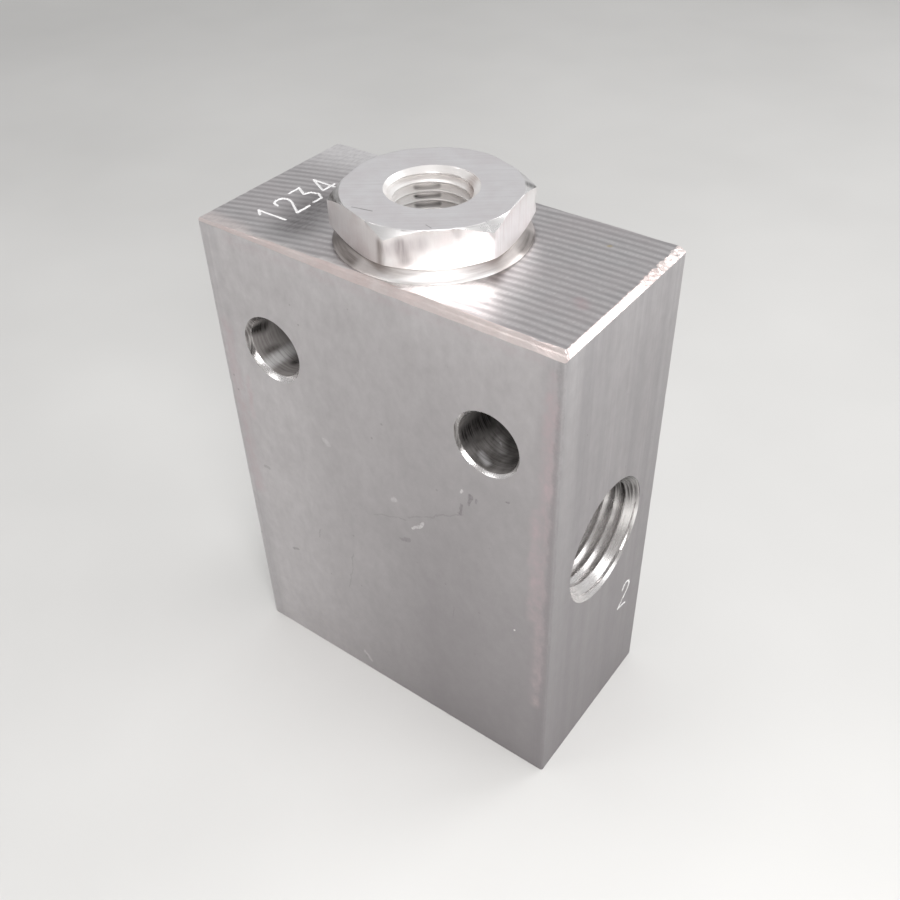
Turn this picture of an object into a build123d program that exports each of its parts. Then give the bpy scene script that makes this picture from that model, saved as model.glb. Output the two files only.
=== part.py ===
from build123d import *
import math
import os

os.makedirs("parts", exist_ok=True)

# Pilot-operated check valve in a rectangular aluminium block, in millimetres.
# Origin at the middle of the bottom face, +X to the valve port, -Y to the front, +Z up.

inch = 25.4

# Block, sawn from drawn rectangular bar, with two of its top edges filed off
block_width = 2.5 * inch
block_depth = 1.25 * inch
block_height = 3.4375 * inch
bar_corner_radius = 0.4
front_chamfer_run = 1.4
front_chamfer_drop = 0.9
right_chamfer_run = 1.05
right_chamfer_drop = 0.6

# Two mounting holes right through, front to back
mount_hole_radius = 4.96
mount_hole_spacing = 40.1
mount_hole_below_top = 0.75 * inch
left_hole_chamfer = 0.75
right_hole_chamfer = 0.5

# Side ports, 1/2-14 taper pipe thread, drawn at the size of the tapping drill
port_mouth_radius = 10.76
port_drill_radius = 0.71875 * inch / 2
port_drill_depth = 18.5
drill_point_angle = 118.0
gallery_radius = 0.25 * inch
valve_port_height = 1.71875 * inch
cylinder_port_height = 20.6

# Stepped main bore
piston_bore_radius = 0.375 * inch
bore_lead_in = 0.5
poppet_chamber_radius = 8.0
guide_bore_radius = 0.25 * inch
guide_bore_floor = 4.5
land_below_gallery = 0.25
land_above_gallery = 1.05

# Recess in the top of the block, and the cap's flange that stands just proud of it
recess_radius = 14.4
flange_rise = 0.3
flange_thickness = 2.9

# Hexagon cap that closes the main bore
hex_across_flats = 1.0 * inch
hex_turn = -79.0
hex_top_above_block = 7.1
hex_bottom_above_block = 1.15
hex_top_circle_radius = 12.93
hex_bottom_circle_radius = 12.5
hex_chamfer_angle = 30.0
cap_thread_radius = 0.9375 * inch / 2
cap_thread_length = 12.0
cap_end_chamfer = 0.8

# Pilot port in the cap, 1/4-18 taper pipe thread, drawn at the size of the tapping drill
pilot_mouth_radius = 7.05
pilot_drill_radius = 0.4375 * inch / 2
pilot_drill_depth = 16.5
pilot_passage_radius = 3.0

# Sealing ring under the cap's flange
cap_seal_outset = 0.35
cap_seal_section_radius = 0.98

# Pilot piston, with its head and push pin turned in one
piston_head_length = 11.0
piston_edge_chamfer = 0.5
piston_recess_radius = 4.0
piston_recess_depth = 1.0
push_pin_radius = 3.0
push_pin_chamfer = 0.6
piston_seal_section_radius = 1.13
backup_ring_thickness = 1.2

# Seat sleeve, its sealing ring and the circlip above it
seat_length = 7.5
seat_bore_radius = 5.5
seat_entry_chamfer = 1.2
seat_face_width = 0.4
seat_seal_section_radius = 0.88
seat_groove_spare = 0.4
circlip_thickness = 1.0
circlip_groove_depth = 0.55
circlip_band = 1.9
circlip_opening = 5.0
circlip_lug_radius = 1.7
circlip_lug_hole_radius = 0.7

# Check poppet with a hollow skirt, how far it opens, and the spring inside it
valve_stroke = 4.0
poppet_tip_radius = 2.8
poppet_cone_half_angle = 45.0
poppet_pocket_radius = 4.9
poppet_crown_thickness = 7.0
vent_hole_radius = 1.5
vent_hole_rise = 4.0
vent_hole_count = 4
spring_wire_radius = 0.5
spring_turns = 8
spring_side_clearance = 0.2

# Clearances between pieces
running_clearance = 0.05
static_clearance = 0.03
seal_clearance = 0.025
flange_side_clearance = 0.08
cap_end_clearance = 0.5
circlip_side_clearance = 0.075
valve_gap = 0.1
push_pin_gap = 0.3
piston_rest_gap = 0.3
skirt_end_gap = 0.5

# How far a cutter reaches past the face it starts from
overrun = 1.0

# Places worked out from the sizes above
half_width = block_width / 2
half_depth = block_depth / 2
mount_hole_height = block_height - mount_hole_below_top
flange_top = block_height + flange_rise
flange_seat = flange_top - flange_thickness
cap_seal_radius = cap_thread_radius + cap_seal_outset
cap_seal_reach = cap_seal_section_radius + seal_clearance
cap_seal_height = flange_seat - cap_seal_reach
seal_pocket_radius = cap_seal_radius + cap_seal_reach
seal_pocket_floor = flange_seat - 2 * cap_seal_reach
cap_bottom = seal_pocket_floor - cap_thread_length
thread_bore_floor = cap_bottom - cap_end_clearance
piston_top = cap_bottom - piston_rest_gap
piston_head_bottom = piston_top - piston_head_length
guide_bore_top = cylinder_port_height - gallery_radius - land_below_gallery
seat_shoulder = cylinder_port_height + gallery_radius + land_above_gallery
seat_top = seat_shoulder + seat_length
cone_rise = 1 / math.tan(math.radians(poppet_cone_half_angle))
cone_drop = valve_gap / math.sin(math.radians(poppet_cone_half_angle))
seat_face_top = seat_shoulder + seat_face_width * cone_rise
poppet_tip = seat_face_top - cone_drop + (seat_bore_radius - poppet_tip_radius) * cone_rise
poppet_skirt_bottom = guide_bore_floor + valve_stroke + skirt_end_gap
poppet_pocket_top = poppet_tip - poppet_crown_thickness
vent_hole_height = guide_bore_top + vent_hole_rise
push_pin_tip = poppet_tip + push_pin_gap
piston_seal_radius = piston_bore_radius - seal_clearance - piston_seal_section_radius
piston_groove_floor = piston_seal_radius - piston_seal_section_radius - seal_clearance
piston_groove_middle = piston_head_bottom + piston_head_length / 2
backup_ring_start = piston_seal_section_radius + seal_clearance
piston_groove_half = backup_ring_start + backup_ring_thickness + seal_clearance
seat_seal_radius = piston_bore_radius - seal_clearance - seat_seal_section_radius
seat_seal_height = seat_shoulder + seat_length / 2


def turned(outline):
    """Solid turned about Z from a closed outline of (radius, height) points."""
    return revolve(make_face(Plane.XZ * Polyline(*outline, close=True)), axis=Axis.Z)


def flat_ring(inner, outer, bottom, top):
    """Ring of rectangular section about Z."""
    return turned([(inner, bottom), (outer, bottom), (outer, top), (inner, top)])


def round_ring(centre_radius, section_radius, height):
    """Sealing ring of round section, lying flat."""
    return Pos(0, 0, height) * Torus(centre_radius, section_radius)


def top_edge_cutter(run, drop, edge):
    """Wedge that takes a bevel off a top edge. The plane has its origin on the edge,
    local x pointing out of the block and local y up."""
    wedge = make_face(Polyline((run, drop), (run, -2 * drop), (-2 * run, drop), close=True))
    return extrude(edge * wedge, block_width, both=True)


def port_cutter(mouth_radius, drill_radius, drill_depth, passage_radius, passage_end):
    """Bevelled mouth at height 0, tapping drill with its point below it, then the passage."""
    point = (drill_radius - passage_radius) / math.tan(math.radians(drill_point_angle / 2))
    return turned([
        (0, overrun),
        (mouth_radius, overrun),
        (mouth_radius, 0),
        (drill_radius, drill_radius - mouth_radius),
        (drill_radius, -drill_depth),
        (passage_radius, -drill_depth - point),
        (passage_radius, -passage_end),
        (0, -passage_end),
    ])


def through_hole_cutter(radius, chamfer_size, length):
    """Plain hole along the local Z, bevelled alike at both faces."""
    half = length / 2
    wide = radius + chamfer_size + overrun
    return turned([
        (0, -half - overrun),
        (wide, -half - overrun),
        (radius, -half + chamfer_size),
        (radius, half - chamfer_size),
        (wide, half + overrun),
        (0, half + overrun),
    ])


def main_bore_cutter():
    """Everything bored from the top, from the cap's recess down to the poppet's guide."""
    return turned([
        (0, block_height + overrun),
        (recess_radius, block_height + overrun),
        (recess_radius, flange_seat),
        (seal_pocket_radius, flange_seat),
        (seal_pocket_radius, seal_pocket_floor),
        (cap_thread_radius, seal_pocket_floor),
        (cap_thread_radius, thread_bore_floor),
        (piston_bore_radius + bore_lead_in, thread_bore_floor),
        (piston_bore_radius, thread_bore_floor - bore_lead_in),
        (piston_bore_radius, seat_shoulder),
        (poppet_chamber_radius, seat_shoulder),
        (poppet_chamber_radius, guide_bore_top),
        (guide_bore_radius, guide_bore_top),
        (guide_bore_radius, guide_bore_floor),
        (0, guide_bore_floor),
    ])


def make_valve_block():
    bar = extrude(RectangleRounded(block_width, block_depth, bar_corner_radius), block_height)
    front_edge = Plane(origin=(0, -half_depth, block_height), x_dir=(0, -1, 0), z_dir=(-1, 0, 0))
    right_edge = Plane(origin=(half_width, 0, block_height), x_dir=(1, 0, 0), z_dir=(0, -1, 0))
    bar -= top_edge_cutter(front_chamfer_run, front_chamfer_drop, front_edge)
    bar -= top_edge_cutter(right_chamfer_run, right_chamfer_drop, right_edge)
    bar -= main_bore_cutter()
    groove_radius = piston_bore_radius + circlip_groove_depth
    bar -= flat_ring(seat_bore_radius, groove_radius,
                     seat_top - static_clearance, seat_top + circlip_thickness + static_clearance)
    port = port_cutter(port_mouth_radius, port_drill_radius, port_drill_depth,
                       gallery_radius, half_width)
    bar -= Plane(origin=(half_width, 0, valve_port_height), z_dir=(1, 0, 0)) * port
    bar -= Plane(origin=(-half_width, 0, cylinder_port_height), z_dir=(-1, 0, 0)) * port
    for side, chamfer_size in ((-1, left_hole_chamfer), (1, right_hole_chamfer)):
        hole = through_hole_cutter(mount_hole_radius, chamfer_size, block_depth)
        place = Plane(origin=(side * mount_hole_spacing / 2, 0, mount_hole_height), z_dir=(0, -1, 0))
        bar -= place * hole
    return bar


def make_pilot_cap():
    hex_bottom = block_height + hex_bottom_above_block
    hex_top = block_height + hex_top_above_block
    corner_radius = hex_across_flats / math.sqrt(3)
    clear_radius = corner_radius + overrun
    slope = math.tan(math.radians(hex_chamfer_angle))
    prism = extrude(RegularPolygon(corner_radius, 6, rotation=hex_turn), hex_top - hex_bottom)
    head = Pos(0, 0, hex_bottom) * prism & turned([
        (0, hex_bottom),
        (hex_bottom_circle_radius, hex_bottom),
        (clear_radius, hex_bottom + (clear_radius - hex_bottom_circle_radius) * slope),
        (clear_radius, hex_top - (clear_radius - hex_top_circle_radius) * slope),
        (hex_top_circle_radius, hex_top),
        (0, hex_top),
    ])
    thread_radius = cap_thread_radius - static_clearance
    relief_radius = cap_seal_radius - cap_seal_reach
    flange_radius = recess_radius - flange_side_clearance
    shank = turned([
        (0, cap_bottom),
        (thread_radius - cap_end_chamfer, cap_bottom),
        (thread_radius, cap_bottom + cap_end_chamfer),
        (thread_radius, seal_pocket_floor),
        (relief_radius, seal_pocket_floor),
        (relief_radius, flange_seat),
        (flange_radius, flange_seat),
        (flange_radius, flange_top),
        (hex_bottom_circle_radius, flange_top),
        (hex_bottom_circle_radius, hex_bottom),
        (0, hex_bottom),
    ])
    port = port_cutter(pilot_mouth_radius, pilot_drill_radius, pilot_drill_depth,
                       pilot_passage_radius, hex_top - cap_bottom + overrun)
    return head + shank - Pos(0, 0, hex_top) * port


def make_pilot_piston():
    """Grooved head above, push pin below, and a shallow recess for the pilot oil on top."""
    head_radius = piston_bore_radius - running_clearance
    head = turned([
        (0, piston_top),
        (head_radius - piston_edge_chamfer, piston_top),
        (head_radius, piston_top - piston_edge_chamfer),
        (head_radius, piston_head_bottom + piston_edge_chamfer),
        (head_radius - piston_edge_chamfer, piston_head_bottom),
        (push_pin_radius, piston_head_bottom),
        (push_pin_radius, push_pin_tip + push_pin_chamfer),
        (push_pin_radius - push_pin_chamfer, push_pin_tip),
        (0, push_pin_tip),
    ])
    head -= flat_ring(piston_groove_floor, head_radius + overrun,
                      piston_groove_middle - piston_groove_half,
                      piston_groove_middle + piston_groove_half)
    recess = Cylinder(piston_recess_radius, piston_recess_depth,
                      align=(Align.CENTER, Align.CENTER, Align.MAX))
    return head - Pos(0, 0, piston_top) * recess


def make_backup_ring(bottom):
    """Flat plastic ring that keeps the piston's sealing ring out of the gap at the bore."""
    return flat_ring(piston_groove_floor + seal_clearance, piston_bore_radius - running_clearance,
                     bottom, bottom + backup_ring_thickness)


def make_valve_seat():
    """Sleeve on the shoulder of the bore, with the sealing face at its lower inner edge."""
    outer = piston_bore_radius - static_clearance
    sleeve = turned([
        (seat_bore_radius + seat_face_width, seat_shoulder),
        (outer, seat_shoulder),
        (outer, seat_top),
        (seat_bore_radius + seat_entry_chamfer, seat_top),
        (seat_bore_radius, seat_top - seat_entry_chamfer),
        (seat_bore_radius, seat_face_top),
    ])
    groove_half = seat_seal_section_radius + seat_groove_spare / 2
    groove_floor = seat_seal_radius - seat_seal_section_radius - seal_clearance
    return sleeve - flat_ring(groove_floor, outer + overrun,
                              seat_seal_height - groove_half, seat_seal_height + groove_half)


def make_circlip():
    """Internal circlip, open towards the left, with two holed lugs for the pliers."""
    outer = piston_bore_radius + circlip_groove_depth - circlip_side_clearance
    inner = outer - circlip_band
    lug_turn = math.degrees(math.asin((circlip_opening / 2 + circlip_lug_radius) / inner))
    band = Circle(outer) - Circle(inner)
    band -= Pos(-outer, 0) * Rectangle(2 * circlip_band + 2 * overrun, circlip_opening)
    for side in (-1, 1):
        lug_place = Rot(0, 0, 180 + side * lug_turn) * Pos(inner, 0)
        band += lug_place * Circle(circlip_lug_radius)
        band -= lug_place * Circle(circlip_lug_hole_radius)
    return Pos(0, 0, seat_top) * extrude(band, circlip_thickness)


def make_check_poppet():
    """Cone that closes on the seat, and a hollow skirt that slides in the guide bore."""
    outer = guide_bore_radius - running_clearance
    poppet = turned([
        (0, poppet_tip),
        (poppet_tip_radius, poppet_tip),
        (outer, poppet_tip - (outer - poppet_tip_radius) * cone_rise),
        (outer, poppet_skirt_bottom),
        (poppet_pocket_radius, poppet_skirt_bottom),
        (poppet_pocket_radius, poppet_pocket_top),
        (0, poppet_pocket_top),
    ])
    vent = Rot(0, 90, 0) * Cylinder(vent_hole_radius, outer + overrun,
                                    align=(Align.CENTER, Align.CENTER, Align.MIN))
    for turn in range(vent_hole_count):
        poppet -= Pos(0, 0, vent_hole_height) * Rot(0, 0, 45 + turn * 360 / vent_hole_count) * vent
    return poppet


def make_poppet_spring():
    """Coil from the floor of the guide bore to the top of the skirt's pocket, ends ground flat."""
    bottom = guide_bore_floor + static_clearance
    length = poppet_pocket_top - static_clearance - bottom
    coil_radius = poppet_pocket_radius - spring_side_clearance - spring_wire_radius
    path = Helix(length / spring_turns, length, coil_radius)
    wire = sweep(Plane(origin=path @ 0, z_dir=path % 0) * Circle(spring_wire_radius), path=path)
    slab = Box(4 * coil_radius, 4 * coil_radius, length, align=(Align.CENTER, Align.CENTER, Align.MIN))
    return Pos(0, 0, bottom) * (wire & slab)


pieces = {
    "valve_block": make_valve_block(),
    "pilot_cap": make_pilot_cap(),
    "cap_seal_ring": round_ring(cap_seal_radius, cap_seal_section_radius, cap_seal_height),
    "pilot_piston": make_pilot_piston(),
    "piston_seal_ring": round_ring(piston_seal_radius, piston_seal_section_radius,
                                   piston_groove_middle),
    "upper_backup_ring": make_backup_ring(piston_groove_middle + backup_ring_start),
    "lower_backup_ring": make_backup_ring(piston_groove_middle - backup_ring_start
                                          - backup_ring_thickness),
    "valve_seat": make_valve_seat(),
    "seat_seal_ring": round_ring(seat_seal_radius, seat_seal_section_radius, seat_seal_height),
    "seat_circlip": make_circlip(),
    "check_poppet": make_check_poppet(),
    "poppet_spring": make_poppet_spring(),
}

for name, piece in pieces.items():
    export_step(piece, f"parts/{name}.step")
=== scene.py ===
import math

import bmesh
import bpy
import numpy as np
from mathutils import Matrix, Vector
from mathutils.geometry import delaunay_2d_cdt


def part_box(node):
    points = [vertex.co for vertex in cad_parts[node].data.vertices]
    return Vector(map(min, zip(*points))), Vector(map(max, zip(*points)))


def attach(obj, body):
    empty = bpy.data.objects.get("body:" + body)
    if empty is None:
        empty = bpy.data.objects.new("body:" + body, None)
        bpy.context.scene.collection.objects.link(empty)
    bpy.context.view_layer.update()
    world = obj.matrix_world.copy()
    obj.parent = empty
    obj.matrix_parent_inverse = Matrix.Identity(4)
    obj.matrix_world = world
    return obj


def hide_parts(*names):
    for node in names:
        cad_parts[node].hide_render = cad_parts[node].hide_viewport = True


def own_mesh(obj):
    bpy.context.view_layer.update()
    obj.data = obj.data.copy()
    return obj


# Pilot-operated check valve in an aluminium block.
# Shapes are worked out in millimetres: +X to the valve port, -Y to the front, +Z up.

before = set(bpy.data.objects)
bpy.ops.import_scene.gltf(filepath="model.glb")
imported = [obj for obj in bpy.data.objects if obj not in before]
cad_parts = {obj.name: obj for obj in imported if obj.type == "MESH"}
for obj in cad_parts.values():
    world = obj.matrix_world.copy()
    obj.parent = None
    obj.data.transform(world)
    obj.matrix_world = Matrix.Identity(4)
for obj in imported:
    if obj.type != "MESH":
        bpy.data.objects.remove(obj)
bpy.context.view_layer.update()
mm = 0.001
mergeStep = 0.0001  # points nearer than this are one point, in mm
pipeTaper = 1 / 32  # taper pipe threads narrow by this much of their depth, on the radius
print("frame loaded")


# Mesh helpers. A patch is (points, triangles, finish of each triangle), all in millimetres.

def gridPatch(points, finish):
    # two triangles in each cell of a grid of points, rows by columns
    rows, columns = points.shape[:2]
    index = np.arange(rows * columns).reshape(rows, columns)
    a, b = index[:-1, :-1].ravel(), index[:-1, 1:].ravel()
    c, d = index[1:, 1:].ravel(), index[1:, :-1].ravel()
    triangles = np.concatenate([np.stack([a, b, c], 1), np.stack([a, c, d], 1)])
    return points.reshape(-1, 3), triangles, np.full(len(triangles), finish)


def filledPatch(outline, holes, inner, place, finish):
    # flat outline with holes, filled with triangles; place turns its 2-D points into 3-D ones
    loops = [np.asarray(loop) for loop in [outline, *holes]]
    flat = np.concatenate(loops + [np.asarray(inner).reshape(-1, 2)])
    edges, start = [], 0
    for loop in loops:
        index = np.arange(len(loop)) + start
        edges += np.stack([index, np.roll(index, -1)], 1).tolist()
        start += len(loop)
    made, _, faces, sources, _, _ = delaunay_2d_cdt([Vector(p) for p in flat], edges, [], 1, 1e-6, True)
    exact = np.array([flat[s[0]] if s else p for s, p in zip(sources, made)])
    triangles = np.array([f for f in faces if len(f) == 3])
    middle = exact[triangles].mean(1)
    keep = insideLoop(middle, loops[0])
    for hole in loops[1:]:
        keep &= ~insideLoop(middle, hole)
    triangles = triangles[keep]
    return place(exact[:, 0], exact[:, 1]), triangles, np.full(len(triangles), finish)


def insideLoop(points, loop):
    # a point is inside where a ray from it to the right crosses the loop an odd number of times
    x, y = points[:, :1], points[:, 1:]
    ax, ay = loop[:, 0], loop[:, 1]
    bx, by = np.roll(ax, -1), np.roll(ay, -1)
    rise = np.where(by == ay, 1.0, by - ay)
    crosses = ((ay > y) != (by > y)) & (x < (bx - ax) * (y - ay) / rise + ax)
    return crosses.sum(1) % 2 == 1


def onePoints(x, y, z):
    # points from x, y and z, each a number or an array, stretched to one shape
    return np.stack(np.broadcast_arrays(x, y, z), -1).astype(float)


def turnedPatch(outline, angles, finish):
    # outline of (radius, height) points, turned about the Z axis: (r cos, r sin, height)
    radius, height = np.array(outline, float).T[:, :, None]
    return gridPatch(onePoints(radius * np.cos(angles), radius * np.sin(angles), height), finish)


def threadGrid(turns, pitch, length, root=(0.46, 0.54)):
    # depth, and share of the groove's full depth, on rows that follow a right-hand helix:
    # depth = (phase + part of a turn) times pitch, held between 0 and the thread's length
    phase = np.array([0.04, 0.18, 0.32, 0.46, 0.54, 0.68, 0.82, 0.96])
    share = np.interp(phase, [0.04, *root, 0.96], [0, 1, 1, 0])
    laps = np.arange(-2, int(length / pitch) + 2)
    depth = ((laps[:, None] + phase).reshape(-1, 1) + turns) * pitch
    groove = np.tile(share, len(laps))[:, None] + 0 * turns
    return np.clip(depth, 0, length), groove


def smoothNoise(u, v, size, seed, count=7):
    # sum of cosines in seeded directions, about -1 to 1, with waves of about the given size
    rng = np.random.default_rng(seed)
    angles, phases = rng.uniform(0, 2 * np.pi, (2, count))
    waves = 2 * np.pi / size * rng.uniform(0.6, 1.7, count)
    total = 0
    for angle, offset, wave in zip(angles, phases, waves):
        total = total + np.cos((u * np.cos(angle) + v * np.sin(angle)) * wave + offset)
    return total / math.sqrt(count)


def softStep(t):
    # smooth rise from 0 to 1: three t squared less two t cubed
    t = np.clip(t, 0, 1)
    return t * t * (3 - 2 * t)


def buildPiece(name, patches, materials, sharpAngle=32):
    # joins the patches where their points meet, drops empty triangles and points the faces outwards
    points = np.concatenate([p[0] for p in patches])
    starts = np.cumsum([0] + [len(p[0]) for p in patches[:-1]])
    triangles = np.concatenate([p[1] + start for p, start in zip(patches, starts)])
    finish = np.concatenate([p[2] for p in patches])
    # 0.37 keeps round numbers away from the limits between two steps
    keys = np.floor(points / mergeStep + 0.37).astype(np.int64)
    _, first, same = np.unique(keys, axis=0, return_index=True, return_inverse=True)
    triangles = same.reshape(-1)[triangles]
    a, b, c = triangles.T
    real = (a != b) & (b != c) & (c != a)
    mesh = bpy.data.meshes.new(name)
    mesh.from_pydata((points[first] * mm).tolist(), [], triangles[real].tolist())
    for material in materials:
        mesh.materials.append(material)
    mesh.polygons.foreach_set("material_index", finish[real].astype(np.int32))
    work = bmesh.new()
    work.from_mesh(mesh)
    bmesh.ops.recalc_face_normals(work, faces=work.faces)
    openEdges = sum(not edge.is_manifold for edge in work.edges)
    work.to_mesh(mesh)
    work.free()
    mesh.shade_smooth()
    mesh.set_sharp_from_angle(angle=math.radians(sharpAngle))
    piece = bpy.data.objects.new(name, mesh)
    bpy.context.scene.collection.objects.link(piece)
    weighted = piece.modifiers.new("weighted normals", "WEIGHTED_NORMAL")
    weighted.keep_sharp = True
    print(name, len(mesh.polygons), "triangles,", openEdges, "open edges")
    return piece


# Material helpers

def linearColour(hexText):
    # sRGB to linear: a twelfth and a bit for dark parts, else the 2.4 power of (c + 0.055) / 1.055
    parts = [int(hexText[i:i + 2], 16) / 255 for i in (1, 3, 5)]
    return tuple(c / 12.92 if c <= 0.04045 else ((c + 0.055) / 1.055) ** 2.4 for c in parts) + (1.0,)


def addNode(tree, kind, sockets=None, **settings):
    # one node, its settings, and its sockets by name or number: a socket is linked, a value is set
    node = tree.nodes.new(kind)
    for name, value in settings.items():
        setattr(node, name, value)
    for socket, value in (sockets or {}).items():
        if isinstance(value, bpy.types.NodeSocket):
            tree.links.new(value, node.inputs[socket])
        else:
            node.inputs[socket].default_value = value
    return node


def newMaterial(name):
    # an empty material with its shader, and object coordinates in millimetres
    material = bpy.data.materials.new(name)
    material.use_nodes = True
    tree = material.node_tree
    tree.nodes.clear()
    shader = addNode(tree, "ShaderNodeBsdfPrincipled")
    addNode(tree, "ShaderNodeOutputMaterial", {"Surface": shader.outputs[0]})
    coordinates = addNode(tree, "ShaderNodeTexCoord")
    place = addNode(tree, "ShaderNodeVectorMath", {0: coordinates.outputs["Object"], 1: (1000, 1000, 1000)},
                    operation="MULTIPLY")
    return material, tree, shader, place.outputs[0]


def noiseValue(tree, place, stretch, detail=3.0, roughness=0.55, low=0.0, high=1.0):
    # noise with 1 / stretch mm from one blob to the next on each axis, spread between low and high
    scaled = addNode(tree, "ShaderNodeVectorMath", {0: place, 1: stretch}, operation="MULTIPLY")
    noise = addNode(tree, "ShaderNodeTexNoise",
                    {"Vector": scaled.outputs[0], "Scale": 1.0, "Detail": detail, "Roughness": roughness})
    spread = addNode(tree, "ShaderNodeMapRange",
                     {"Value": noise.outputs[0], "From Min": 0.3, "From Max": 0.7,
                      "To Min": low, "To Max": high})
    return spread.outputs[0]


def product(tree, *factors):
    # the factors multiplied with one another, from the first to the last
    total = factors[0]
    for factor in factors[1:]:
        total = addNode(tree, "ShaderNodeMath", {0: total, 1: factor}, operation="MULTIPLY").outputs[0]
    return total


def layColour(tree, under, over, *factors):
    # under and over mixed: the share of over is the product of the factors, held between 0 and 1
    mix = addNode(tree, "ShaderNodeMix", {0: product(tree, *factors), 6: under, 7: linearColour(over)},
                  data_type="RGBA")
    return mix.outputs[2]


def markMask(tree, place, start, end, width, softness=0.5):
    # 1 on a line from start to end, falling to 0 at half its width away from it
    start, end = Vector(start), Vector(end)
    along = end - start
    fromStart = addNode(tree, "ShaderNodeVectorMath", {0: place, 1: start}, operation="SUBTRACT")
    dot = addNode(tree, "ShaderNodeVectorMath", {0: fromStart.outputs[0], 1: along / along.length_squared},
                  operation="DOT_PRODUCT")
    part = addNode(tree, "ShaderNodeClamp", {0: dot.outputs["Value"]})
    foot = addNode(tree, "ShaderNodeVectorMath", {0: along, "Scale": part.outputs[0]}, operation="SCALE")
    gap = addNode(tree, "ShaderNodeVectorMath", {0: fromStart.outputs[0], 1: foot.outputs[0]},
                  operation="DISTANCE")
    fade = addNode(tree, "ShaderNodeMapRange",
                   {"Value": gap.outputs["Value"], "From Min": width / 2 * (1 - softness),
                    "From Max": width / 2, "To Min": 1.0, "To Max": 0.0}, interpolation_type="SMOOTHSTEP")
    return fade.outputs[0]


def finishShader(tree, shader, colour, rough, metallic, reliefs):
    # colour, roughness and metallic to the shader; reliefs are (height value, its depth in mm), laid on
    # one another
    normal = None
    for height, depth in reliefs:
        sockets = {"Height": height, "Distance": depth * mm, "Strength": 1.0}
        if normal is not None:
            sockets["Normal"] = normal
        normal = addNode(tree, "ShaderNodeBump", sockets).outputs[0]
    tree.links.new(colour, shader.inputs["Base Color"])
    tree.links.new(rough, shader.inputs["Roughness"])
    shader.inputs["Metallic"].default_value = metallic
    tree.links.new(normal, shader.inputs["Normal"])


# Materials

drawnFinish = {
    "light": "#EDEAEB",
    "dark": "#DDDADB",
    "foot": "#8F8B8D",
    "line": "#B4B2B5",
    "edgeBand": "#E4E2E3",
    "pink": "#D2BFC3",
    "scratch": "#989496",
    "glint": "#ECEAEA",
    "roughness": (0.42, 0.54),
    "metallic": 1.0,
    "dieLineSide": (27.6, 30.9),  # distance from the middle, in mm, over which the die's lines come in
    "edgeBandSide": (11.4, 12.8),
    "narrowSide": 31.2,
    "footHeight": 90.0,
    "footReach": (-32.0, 10.0),
}


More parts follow.
